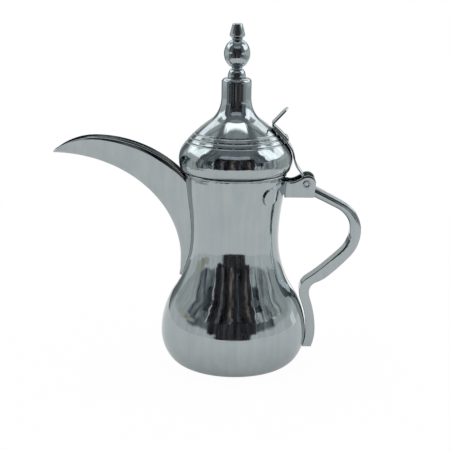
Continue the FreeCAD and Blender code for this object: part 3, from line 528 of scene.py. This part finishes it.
def keep(node, body, material=steel, slot="polished_steel", angle=32):
    """Finishes the piece in hand: smooth, in place, with its finish, instead of its node."""
    if bpy.context.mode != "OBJECT":
        bpy.ops.object.mode_set(mode="OBJECT")
    piece = bpy.context.object
    piece.name = "smooth_" + node
    piece.data.name = piece.name
    bpy.ops.object.transform_apply(location=True, rotation=True, scale=True)
    bpy.ops.object.shade_smooth_by_angle(angle=math.radians(angle))
    piece.data.materials.clear()
    piece.data.materials.append(material)
    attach(piece, body)
    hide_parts(node)
    low, high = piece.bound_box[0], piece.bound_box[6]
    size = [round((high[axis] - low[axis]) / MM, 1) for axis in range(3)]
    print(piece.name, "faces", len(piece.data.polygons), "size in mm", size)
    return piece


def mirrored_copy():
    """Copies the piece in hand to the far side; the copy is then the piece in hand."""
    bpy.ops.object.duplicate()
    bpy.ops.object.mode_set(mode="EDIT")
    bpy.ops.mesh.select_all(action="SELECT")
    bpy.ops.transform.resize(value=(1, -1, 1), center_override=(0, 0, 0))
    face_out()


def take(piece):
    """Makes a finished shape the piece in hand again."""
    bpy.ops.object.select_all(action="DESELECT")
    bpy.context.view_layer.objects.active = piece
    piece.select_set(True)


print("drawing tools:", [tool.__name__ for tool in (draw, spin, bridge, modify, ease, keep)])

# %% [markdown]
# ## The body
# The body was spun from one disc of 1 mm sheet: a flat foot, a fat low belly, a waist and a
# neck that widens to the lip under the lid. So its outline is drawn once and spun, and the
# sheet's thickness is added inwards afterwards. Ten strainer holes behind the beak are drilled
# through the neck with one row of round cutters.

# %% Body outline
RIM = 171.0
LIP = 43.6
LIP_RISE = 7.6
RIM_BLEND = 3.0
NECK_TAPER = 6.0
UPPER_BELLY_CURVE = 70.0
FLANGE = 9.0
WALL = 1.0
BRAZE_GAP = 0.1
belly = Vector((63.5, 31.0))
waist = Vector((38.2, 116.0))
foot = Vector((39.0, 1.2))
neck_end = Vector((LIP - RIM_BLEND * math.tan(math.radians(NECK_TAPER / 2)), RIM - RIM_BLEND))
lip = Vector((LIP, RIM))
body_line = [foot - Vector((FLANGE, 0)), foot]
body_line += two_arcs(foot, lean(90), belly, lean(0), 20)
belly_bend = (belly.x - waist.x) / (waist.y - belly.y)
body_line += two_arcs(belly, lean(0), waist, lean(0), 24, UPPER_BELLY_CURVE * belly_bend)
body_line += two_arcs(waist, lean(0), neck_end, lean(NECK_TAPER), 12)
body_line += arc(neck_end, lean(NECK_TAPER), lip, 4)[0]
body_line.append(lip + Vector((0, LIP_RISE)))
print("points on the body's outline:", len(body_line))

# %% Body and strainer
TURNS = 192
HOLES = 10
HOLE_RADIUS = 1.6
HOLE_PITCH = 5.2
DRILL = 16.0
first_hole = Vector((-40, RIM - 14))
draw([place(point) for point in body_line])
spin(TURNS)
modify("SOLIDIFY", thickness=WALL * MM, offset=-1, use_even_offset=True)
ease()
body_piece = bpy.context.object
bpy.ops.object.select_all(action="DESELECT")
bpy.ops.mesh.primitive_cylinder_add(
    vertices=24, radius=HOLE_RADIUS * MM, depth=DRILL * MM, location=place(first_hole),
    rotation=(0, math.pi / 2, 0), enter_editmode=True)
for _ in range(HOLES - 1):
    bpy.ops.mesh.duplicate_move(TRANSFORM_OT_translate={"value": (0, 0, -HOLE_PITCH * MM)})
bpy.ops.object.mode_set(mode="OBJECT")
cutter = bpy.context.object
take(body_piece)
modify("BOOLEAN", operation="DIFFERENCE", object=cutter, solver="EXACT")
bpy.data.objects.remove(cutter)
keep("body_shell", "pot")

# %% [markdown]
# ## The ring on the lip
# A half-round wire is soldered round the lip and the lid comes to rest just above it. It is the
# bright bead under the lid. A D-shaped line is drawn and spun.

# %% Ring on the lip
RING_HEIGHT = 2.3
RING_WIDTH = 1.4
ring_foot = Vector((LIP + 0.05, RIM + 1.0))
ring_head = ring_foot + Vector((0, RING_HEIGHT))
ring_middle = (ring_foot + ring_head) / 2 + Vector((RING_WIDTH, 0))
ring_line = [ring_foot] + arc(ring_foot, lean(90), ring_middle, 8)[0]
ring_line += arc(ring_middle, lean(0), ring_head, 8)[0]
draw([place(point) for point in ring_line], closed=True)
spin(TURNS)
keep("neck_ring", "pot", angle=50)

# %% [markdown]
# ## The lid
# The lid is spun like the body: a tucked-in foot, a bulge, a dome with three rolled grooves, a
# flare and a tower. The grooves are part of the drawn outline, with soft lips, because rolled
# sheet has no sharp corners there. They could be cut later, but then the wall would thin.


# %% Lid outline
def with_groove(outline, height, depth=0.6, width=2.3):
    """The outline with a rolled groove at a height."""
    middle, course = at_height(outline, height)
    inward = Vector((-course.y, course.x))
    before = [p for p in outline if p.y < height and (p - middle).length > width / 2]
    after = [p for p in outline if p.y >= height and (p - middle).length > width / 2]
    groove = []
    for step in range(-7, 8):
        sink = depth * (1 + math.cos(math.pi * step / 7)) / 2
        groove.append(middle + course * (width / 2 * step / 7) + inward * sink)
    return before + groove + after


FOOT_LEAN = 62.0
DOME_LEAN = 35.0
FLARE_LEAN = 54.5
TOWER = 12.9
TOWER_TOP = RIM + 83.2
TOWER_ROUNDING = 3.4
GROOVE_RISES = (29.2, 32.8, 36.4)
lid_foot = Vector((LIP + 1.4, RIM + 3.6))
bulge = lid_foot + Vector((3.9, 9.9))
dome = Vector((bulge.x - 3.6, RIM + 25))
flare = Vector((22.3, RIM + 47.1))
tower_foot = Vector((TOWER, RIM + 67))
tower_top = Vector((TOWER, TOWER_TOP - TOWER_ROUNDING))
shoulder = Vector((TOWER - TOWER_ROUNDING, TOWER_TOP))
lid_line = [lid_foot] + two_arcs(lid_foot, lean(FOOT_LEAN), bulge, lean(0), 8)
lid_line += two_arcs(bulge, lean(0), dome, lean(-DOME_LEAN), 10)
lid_line += two_arcs(dome, lean(-DOME_LEAN), flare, lean(-FLARE_LEAN), 14)
lid_line += two_arcs(flare, lean(-FLARE_LEAN), tower_foot, lean(0), 14)
lid_line += [tower_foot.lerp(tower_top, share / 4) for share in range(1, 5)]
lid_line += arc(tower_top, lean(0), shoulder, 8)[0]
print("points on the lid's outline:", len(lid_line))

# %% Lid
BORE = 2.1
grooved = lid_line
for rise in GROOVE_RISES:
    grooved = with_groove(grooved, RIM + rise)
draw([place(point) for point in grooved + [Vector((BORE, TOWER_TOP))]])
spin(TURNS)
modify("SOLIDIFY", thickness=WALL * MM, offset=-1, use_even_offset=True)
ease()
keep("lid_shell", "lid")

# %% [markdown]
# ## The finial
# Three turned pieces sit on the tower: a small dome, a ball that is slightly taller than wide,
# and a cut cone. Each is a closed outline spun round the axis, with its edges eased, because
# buffing never leaves them sharp.

# %% Finial bell
BELL = 7.8
BELL_NECK = 4.5
BELL_EDGE = 0.8
BALL_FOOT = TOWER_TOP + 8.8
bell_edge = Vector((BELL, TOWER_TOP + BELL_EDGE))
bell_neck = Vector((BELL_NECK, BALL_FOOT - BELL_EDGE))
bell_line = [Vector((BORE, TOWER_TOP)), Vector((BELL, TOWER_TOP)), bell_edge]
bell_line += two_arcs(bell_edge, lean(0), bell_neck, lean(-60), 12)
bell_line += [Vector((BELL_NECK, BALL_FOOT)), Vector((BORE, BALL_FOOT))]
draw([place(point) for point in bell_line], closed=True)
spin(96)
ease(0.3)
keep("finial_bell", "lid")

# %% Finial ball
BALL = 11.25
BALL_HALF_HEIGHT = 11.8
BALL_FLAT = 4.0
BALL_LEAN = 67.5
TIP_FOOT = BALL_FOOT + 2 * BALL_HALF_HEIGHT
ball_foot = Vector((BALL_FLAT, BALL_FOOT))
ball_belt = Vector((BALL, BALL_FOOT + BALL_HALF_HEIGHT))
ball_top = Vector((BALL_FLAT, TIP_FOOT))
ball_line = [Vector((BORE, BALL_FOOT)), ball_foot]
ball_line += two_arcs(ball_foot, lean(BALL_LEAN), ball_belt, lean(0), 12)
ball_line += two_arcs(ball_belt, lean(0), ball_top, lean(-BALL_LEAN), 12)
ball_line.append(Vector((BORE, TIP_FOOT)))
draw([place(point) for point in ball_line], closed=True)
spin(96)
ease(0.2)
keep("finial_ball", "lid")

# %% Finial tip
TIP = 6.6
TIP_NECK = 4.5
TIP_END = 4.4
TIP_BEVEL = 0.6
tip_top = TIP_FOOT + 13.4
tip_line = [Vector((0, TIP_FOOT)), Vector((TIP_NECK, TIP_FOOT)), Vector((TIP_NECK, TIP_FOOT + 0.7))]
tip_line += [Vector((TIP, TIP_FOOT + 3.3)), Vector((TIP, TIP_FOOT + 4.5))]
tip_line += [Vector((TIP_END, tip_top - TIP_BEVEL)), Vector((TIP_END - TIP_BEVEL, tip_top))]
tip_line.append(Vector((0, tip_top)))
draw([place(point) for point in tip_line])
spin(96)
ease(0.35, 15)
keep("finial_tip", "lid")

# %% [markdown]
# ## The beak
# The beak is an open trough, pressed as two halves that meet in a sharp keel underneath. Its
# rim follows two arcs in the side view and its keel a quarter of an ellipse. Lines are drawn
# from the tip to the neck, each stops where it meets the body, and they are bridged to a skin.
# The wall is added inwards, the half is cut flat at the middle plane, and the other half is a
# mirrored copy.

# %% Beak lines
BEAK_TIP_X = -157.0
CREST_X = -121.0
CREST_HEIGHT = 202.7
CREST_CURVE = 108.6
NOSE_CURVE = 52.7
RIM_REACH = 120.8
KEEL_REACH = 110.3
KEEL_RISE = 93.0
KEEL_FOOT = 95.0
KEEL_SWEEP = 99.0
BEAK_TIP_HALF = 2.2
HALF_WIDENING = 7.8
WIDENS_OVER = 20.0
SWELL = 2.2
RUN_IN = Vector((14.0, 0, -3.5))


def beak_point(share, rise):
    """Place on the near half's outside: share from tip to neck, rise from keel to rim. Past
    the full share the line runs straight on into the body."""
    course = min(share, 1.0)
    turn = math.radians(KEEL_SWEEP * course)
    keel_x = BEAK_TIP_X + KEEL_REACH * math.sin(turn)
    keel = Vector((keel_x, 0, KEEL_FOOT + KEEL_RISE * math.cos(turn)))
    x = BEAK_TIP_X + RIM_REACH * course
    curve = CREST_CURVE if x > CREST_X else NOSE_CURVE
    opening = math.tanh(math.sqrt((x - BEAK_TIP_X) / WIDENS_OVER))
    rim_height = CREST_HEIGHT - curve + math.sqrt(curve ** 2 - (x - CREST_X) ** 2)
    rim = Vector((x, -BEAK_TIP_HALF - HALF_WIDENING * opening, rim_height))
    swell = Vector((0, SWELL * opening * 4 * rise * (1 - rise), 0))
    return (keel.lerp(rim, rise) - swell + RUN_IN * (share - course)) * MM


def meets_body(rise):
    """Share at which a line of the beak meets the outside of the body."""
    outside, inside = 0.3, 2.0
    for _ in range(40):
        middle = (outside + inside) / 2
        point = beak_point(middle, rise) / MM
        wall = at_height(body_line[2:], min(point.z, RIM))[0].x
        if point.xy.length > wall + BRAZE_GAP:
            outside = middle
        else:
            inside = middle
    return outside


print("the keel meets the body at a share of", round(meets_body(0), 3))

# %% Beak skin
BEAK_LINES = 14
BEAK_STEPS = 44
FIRST_SHARE = 0.006
CLOSER_AT_TIP = 1.3
for line in range(BEAK_LINES + 1):
    rise = line / BEAK_LINES
    reach = meets_body(rise) - FIRST_SHARE
    steps = [(step / BEAK_STEPS) ** CLOSER_AT_TIP for step in range(BEAK_STEPS + 1)]
    draw([beak_point(FIRST_SHARE + reach * step, rise) for step in steps])
bridge()
bpy.ops.object.mode_set(mode="OBJECT")
near_beak = bpy.context.object
outwards = sum(face.normal.y * face.area for face in near_beak.data.polygons)
print("beak skin faces", len(near_beak.data.polygons), "facing near side:", outwards < 0)

# %% Beak halves
if outwards > 0:
    near_beak.data.flip_normals()
modify("SOLIDIFY", thickness=WALL * MM, offset=-1, use_even_offset=True)
bpy.ops.object.mode_set(mode="EDIT")
bpy.ops.mesh.select_all(action="SELECT")
bpy.ops.mesh.bisect(plane_co=(0, 0, 0), plane_no=(0, 1, 0), clear_outer=True, use_fill=True)
ease(0.2, 50)
mirrored_copy()
keep("spout_far_half", "pot")
take(near_beak)
keep("spout_near_half", "pot")

# %% [markdown]
# ## The handle
# The handle is a hollow bar of oblong section with crowned sides, bent in one plane. Both sides
# of its side view are worked out from arcs. Then the section is drawn once at the upper end and
# extruded from station to station, turned and scaled each time. A bar along a curve would do
# too, but this one changes its thickness along the way. Towards the leg the crowned sides grow
# flat, so they are pressed a little flatter from level to level. The leg's end is cut level.

# %% Handle outline
PIN = Vector((LIP + 17.5, RIM - 6.0))
BAR = 14.0
LEG_GAP = 0.3
LEG_THICK = 8.0
END_THICK = 6.6
END_HEIGHT = 12.0
down = lean(180)
leg = belly + Vector((LEG_GAP + LEG_THICK / 2, 2.0))
stations = [
    # place, heading, thickness, and the length of the first bend where it isn't free
    (PIN + Vector((4.9, -7.0)), lean(115.5), 7.7, None),
    (PIN + Vector((43.8, -41.5)), down, 9.4, None),
    (belly + Vector((15.8, 55.3)), lean(270 - 40.7), 9.4, None),
    (leg + Vector((-6.25, 35.0)), down, 8.7, 3.9),
    (leg, down, LEG_THICK, None),
]
low_belly = beside(body_line[2:22], LEG_GAP + END_THICK / 2)
end_place = min(range(len(low_belly)), key=lambda spot: abs(low_belly[spot].y - END_HEIGHT))
end_course = (low_belly[end_place - 1] - low_belly[end_place]).normalized()
stations.append((low_belly[end_place], end_course, END_THICK, None))
sides = []
for side in (1, -1):
    line = []
    for (start, leaving, thick, bend), (end, arriving, end_thick, _) in zip(stations, stations[1:]):
        first = start + Vector((-leaving.y, leaving.x)) * (side * thick / 2)
        last = end + Vector((-arriving.y, arriving.x)) * (side * end_thick / 2)
        line += ([] if line else [first]) + two_arcs(first, leaving, last, arriving, 14, bend)
    sides.append(line)
print("points on each side of the handle:", len(sides[0]))

# %% Handle section and bar
CROWN = 2.3
LEG_CUT = 17.6
middles = [(one + other) / 2 for one, other in zip(*sides)]
acrosses = [one - other for one, other in zip(*sides)]
section = []
for side in (-1, 1):
    for step in range(-6, 7):
        turn = math.radians(15 * step)
        offset = acrosses[0] * (-side * math.sin(turn) / 2)
        section.append(place(middles[0] + offset, side * (BAR / 2 - CROWN + CROWN * math.cos(turn))))
draw(section, closed=True)
for spot in range(1, len(middles)):
    step = middles[spot] - middles[spot - 1]
    bpy.ops.mesh.extrude_region_move(TRANSFORM_OT_translate={"value": place(step)})
    turn = acrosses[spot - 1].angle_signed(acrosses[spot])
    grow = acrosses[spot].length / acrosses[spot - 1].length
    centre = place(middles[spot])
    bpy.ops.transform.rotate(value=-turn, orient_axis="Y", center_override=centre)
    bpy.ops.transform.resize(value=(grow, 1, grow), center_override=centre)
face_out()
bpy.ops.mesh.bisect(plane_co=(0, 0, LEG_CUT * MM), plane_no=(0, 0, -1), clear_outer=True)
bar = bpy.context.object
print("stations along the bar:", len(middles))

# %% Flatter sides towards the leg
LEVELS = range(130, 94, -4)
FLATTER = 0.8
CROWN_STARTS = 3.0
for level in LEVELS:
    for side in (-1, 1):
        bpy.ops.mesh.select_all(action="DESELECT")
        bpy.ops.object.mode_set(mode="OBJECT")
        for vertex in bar.data.vertices:
            spot = bar.matrix_world @ vertex.co
            vertex.select = spot.z < level * MM and spot.y * side > CROWN_STARTS * MM
        bpy.ops.object.mode_set(mode="EDIT")
        face = (0, side * BAR / 2 * MM, 0)
        bpy.ops.transform.resize(value=(1, FLATTER, 1), center_override=face)
modify("SOLIDIFY", thickness=WALL * MM, offset=-1)
keep("handle", "pot")

# %% [markdown]
# ## The hinge bracket
# Each bracket is one piece of 1.75 mm sheet: a round pad and a band that hug the neck, a wide
# bend, and a flat cheek that holds the pin. It is made as a bent strip: upright lines are drawn
# along its course, each as high as the outline is there, and bridged. The far one is a mirrored
# copy.

# %% Bracket course
SHEET = 1.75
CHEEK_Y = 9.625
BEND = 5.5
PAD_START = 56.2


def bracket_point(course, height):
    """Place on the middle of the near bracket's sheet: course 0 to 1 lies on the neck, 1 to 2
    on the bend, and from 2 on along the cheek, in millimetres."""
    neck = at_height(body_line[2:], height)[0].x + BRAZE_GAP + SHEET / 2
    turn_y = CHEEK_Y + BEND
    turn_x = math.sqrt((neck + BEND) ** 2 - turn_y ** 2)
    touch = math.atan2(turn_y, turn_x)
    if course <= 1:
        angle = math.radians(PAD_START) * (1 - course) + touch * course
        return Vector((neck * math.cos(angle), -neck * math.sin(angle), height)) * MM
    if course <= 2:
        angle = math.pi - touch - (math.pi / 2 - touch) * (course - 1)
        bend_x = turn_x + BEND * math.cos(angle)
        return Vector((bend_x, -turn_y + BEND * math.sin(angle), height)) * MM
    return Vector((turn_x + course - 2, -CHEEK_Y, height)) * MM


CHEEK_FOOT = PIN.y - 11.8
CHEEK_TOP = 7.3
CHEEK_LEVEL = 160
TOP_SWEEP = 125
brow = PIN + lean(90 - TOP_SWEEP) * CHEEK_TOP
cheek_shoulder = PIN + Vector((-15, 1.4))
cheek_start = bracket_point(2, CHEEK_LEVEL).x / MM
back = two_arcs(brow, lean(-TOP_SWEEP), cheek_shoulder, lean(-90), 8)
cheek_back = [point for point in reversed(back[:-1]) if point.x > cheek_start + 0.3]
print("flat cheek starts at x", round(cheek_start, 1), "and its round top at", brow)

# %% Bracket outline along its course
PAD = Vector((12.02, PIN.y - 8))
PAD_RADIUS = 7.2
WING_AIM = 30
ROOT_ANGLE = 11.6
ROOT = LIP * math.sin(math.radians(ROOT_ANGLE - WING_AIM))
outline = []
for step in range(9):
    offset = PAD.x + PAD_RADIUS * math.sin(math.radians(85 * (1 - step / 8)))
    half = math.sqrt(PAD_RADIUS ** 2 - (offset - PAD.x) ** 2)
    outline.append((offset, PAD.y - half, PAD.y + half))
root_low, root_high = PIN.y - 7.8, PIN.y + 2.3
for step in range(1, 9):
    share = step / 8
    low = PAD.y - PAD_RADIUS + share * (root_low - PAD.y + PAD_RADIUS)
    high = PAD.y + PAD_RADIUS + share * (root_high - PAD.y - PAD_RADIUS)
    outline.append((PAD.x + (ROOT - PAD.x) * share, low, high))
strip = []
for offset, low, high in outline:
    angle = WING_AIM + math.degrees(math.asin(offset / LIP))
    strip.append(((PAD_START - angle) / (PAD_START - ROOT_ANGLE), low, high))
for step in range(1, 11):
    share = step / 10
    low = root_low if step < 5 else CHEEK_FOOT
    high = root_high + share * (cheek_shoulder.y - root_high)
    strip.append((1 + share, low, high))
top_arc = [PIN + lean(90 - TOP_SWEEP * (1 - step / 14)) * CHEEK_TOP for step in range(15)]
for point in cheek_back + top_arc:
    strip.append((2 + point.x - cheek_start, CHEEK_FOOT, point.y))
print("upright lines in the bracket:", len(strip))

# %% Brackets
ROWS = 10
for course, low, high in strip:
    draw([bracket_point(course, low + (high - low) * row / ROWS) for row in range(ROWS + 1)])
bridge()
modify("SOLIDIFY", thickness=SHEET * MM, offset=0, use_even_offset=True)
ease(0.35, 50)
near_bracket = bpy.context.object
mirrored_copy()
keep("bracket_far", "pot")
take(near_bracket)
keep("bracket_near", "pot")

# %% [markdown]
# ## The hinge pin
# The pin is a tubular rivet whose ends are rolled over to round heads. Its outline is drawn
# along the pin and spun round the pin's own axis.

# %% Hinge pin
HEAD = 3.4
PIN_RADIUS = 2.5
PIN_BORE = 1.6
HALF_PIN = 11.8
rolled = HALF_PIN - 0.9
under_head = HALF_PIN - 1.3
crest = Vector((PIN_RADIUS, HALF_PIN))
pin_line = [Vector((PIN_BORE, 0.0)), Vector((PIN_BORE, rolled))]
pin_line += arc(pin_line[-1], lean(0), crest, 6)[0]
pin_line += arc(crest, lean(90), Vector((HEAD, rolled)), 8)[0]
pin_line += [Vector((HEAD, under_head)), Vector((PIN_RADIUS, under_head)), Vector((PIN_RADIUS, 0.0))]
whole = pin_line + [Vector((point.x, -point.y)) for point in reversed(pin_line)]
draw([(Vector((PIN.x, point.y, PIN.y + point.x))) * MM for point in whole], closed=True)
spin(64, (0, 1, 0), place(PIN))
keep("hinge_pin", "pot", slot="rivet_steel")

# %% [markdown]
# ## The strap and the thumb tab
# A strap of 1.6 mm sheet lies on the dome, leaves it and ends in an eye round the pin. A bent
# tab is riveted on it for the thumb. Both are drawn as lines in the side view, extruded to
# their width, thickened to both sides and eased. The tab's tip is rounded by a vertex bevel.

# %% Strap
STRAP = 16.0
STRAP_SHEET = 1.6
STRAP_GAP = 0.45
LEAVES_DOME = RIM + 16.5
STRAP_END = RIM + 42
EYE = PIN_RADIUS + 0.05 + STRAP_SHEET / 2
at_pin = lean(-22)
strap_bed = beside(lid_line, STRAP_GAP + STRAP_SHEET / 2)
low_spot, low_course = at_height(strap_bed, LEAVES_DOME)
free = two_arcs(PIN, at_pin, low_spot, low_course, 8)
on_dome = [p for p in strap_bed if LEAVES_DOME < p.y < STRAP_END]
on_dome.append(at_height(strap_bed, STRAP_END)[0])
strap_line = [PIN + at_pin * 3.0] + [p for p in free if (p - PIN).length > 4] + on_dome
draw([place(point, -STRAP / 2) for point in strap_line])
bpy.ops.mesh.extrude_region_move(TRANSFORM_OT_translate={"value": (0, STRAP * MM, 0)})
eye = [PIN + lean(10 * step) * EYE for step in range(36)]
draw([place(point, -STRAP / 2) for point in eye], closed=True)
bpy.ops.mesh.select_all(action="DESELECT")
bpy.ops.object.mode_set(mode="OBJECT")
strap = bpy.context.object
for edge in strap.data.edges:
    ends = [strap.matrix_world @ strap.data.vertices[spot].co for spot in edge.vertices]
    reaches = [(end - place(PIN, -STRAP / 2)).length for end in ends]
    edge.select = max(abs(reach - EYE * MM) for reach in reaches) < 0.1 * MM
bpy.ops.object.mode_set(mode="EDIT")
bpy.ops.mesh.select_mode(type="EDGE")
bpy.ops.mesh.extrude_region_move(TRANSFORM_OT_translate={"value": (0, STRAP * MM, 0)})
bpy.ops.mesh.select_mode(type="VERT")
face_out()
modify("SOLIDIFY", thickness=STRAP_SHEET * MM, offset=0, use_even_offset=True)
ease(0.3, 50)
keep("lid_strap", "lid")

# %% Thumb tab
TAB = 14.0
TAB_SHEET = 1.5
TAB_GAP = 0.1
TAB_ROUNDING = 6.5
TAB_START = RIM + 30
TAB_BEND = RIM + 42.6
upwards = lean(43)
tab_bed = beside(lid_line, STRAP_GAP + STRAP_SHEET + TAB_GAP)
tab_start = at_height(tab_bed, TAB_START)[0]
tab_bend, bend_course = at_height(tab_bed, TAB_BEND)
blade = tab_bend + Vector((-0.2, 3.6))
between = [p for p in tab_bed if TAB_START + 0.2 < p.y < TAB_BEND - 0.2]
tab_line = [tab_start] + between + [tab_bend]
tab_line += two_arcs(tab_bend, bend_course, blade, upwards, 8)
tab_line.append(blade + upwards * 17.5)
tab_line = beside(tab_line, TAB_SHEET / 2)
draw([place(point, -TAB / 2) for point in tab_line])
bpy.ops.mesh.extrude_region_move(TRANSFORM_OT_translate={"value": (0, TAB * MM, 0)})
bpy.ops.mesh.select_all(action="DESELECT")
bpy.ops.object.mode_set(mode="OBJECT")
tab = bpy.context.object
tip_place = place(tab_line[-1])
for vertex in tab.data.vertices:
    spot = tab.matrix_world @ vertex.co
    vertex.select = (Vector((spot.x, 0, spot.z)) - tip_place).length < 0.1 * MM
bpy.ops.object.mode_set(mode="EDIT")
bpy.ops.mesh.bevel(offset=TAB_ROUNDING * MM, segments=10, affect="VERTICES")
face_out()
modify("SOLIDIFY", thickness=TAB_SHEET * MM, offset=0, use_even_offset=True)
ease(0.35, 50)
keep("thumb_tab", "lid")

# %% [markdown]
# ## The rivets
# Two rivets hold tab, strap and lid together, with domed heads outside and flat tails inside.
# One is drawn on its own axis and spun; the other is a copy beside it.

# %% Rivets
SPACING = 9.0
SHANK = 1.5
RIVET_HEAD = 2.6
RIVET_TAIL = 2.3
TAIL_TOP = -1.5
TAIL_END = -2.4
STACK = STRAP_GAP + STRAP_SHEET + TAB_GAP + TAB_SHEET + 0.02
rivet_foot, rivet_course = at_height(lid_line, RIM + 31)
axis = Vector((rivet_course.y, 0, -rivet_course.x))
base = place(rivet_foot, -SPACING / 2)
rivet_line = [Vector((0, STACK + 1.2))]
rivet_line += arc(rivet_line[0], lean(90), Vector((RIVET_HEAD, STACK)), 8)[0]
rivet_line += [Vector((SHANK, STACK)), Vector((SHANK, TAIL_TOP)), Vector((RIVET_TAIL, TAIL_TOP))]
rivet_line += [Vector((RIVET_TAIL, TAIL_END)), Vector((0, TAIL_END))]
draw([base + (axis * point.y + Vector((0, point.x, 0))) * MM for point in rivet_line])
spin(40, axis, base)
bpy.ops.mesh.duplicate_move(TRANSFORM_OT_translate={"value": (0, SPACING * MM, 0)})
keep("strap_rivets", "lid", satin, "rivet_steel", 50)

# %% [markdown]
# ## Parts that keep their shape
# The base, the plug and the cap in the handle, and the stud with its nut and washer are plain
# and mostly hidden. Their shape in the frame is right, so they only get their metal.

# %% Hidden parts
hidden = ("base_disc", "handle_upper_plug", "handle_end_cap", "finial_stud", "finial_nut", "finial_washer")
for node in hidden:
    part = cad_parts[node]
    part.data.materials.clear()
    part.data.materials.append(steel if node == "handle_end_cap" else satin)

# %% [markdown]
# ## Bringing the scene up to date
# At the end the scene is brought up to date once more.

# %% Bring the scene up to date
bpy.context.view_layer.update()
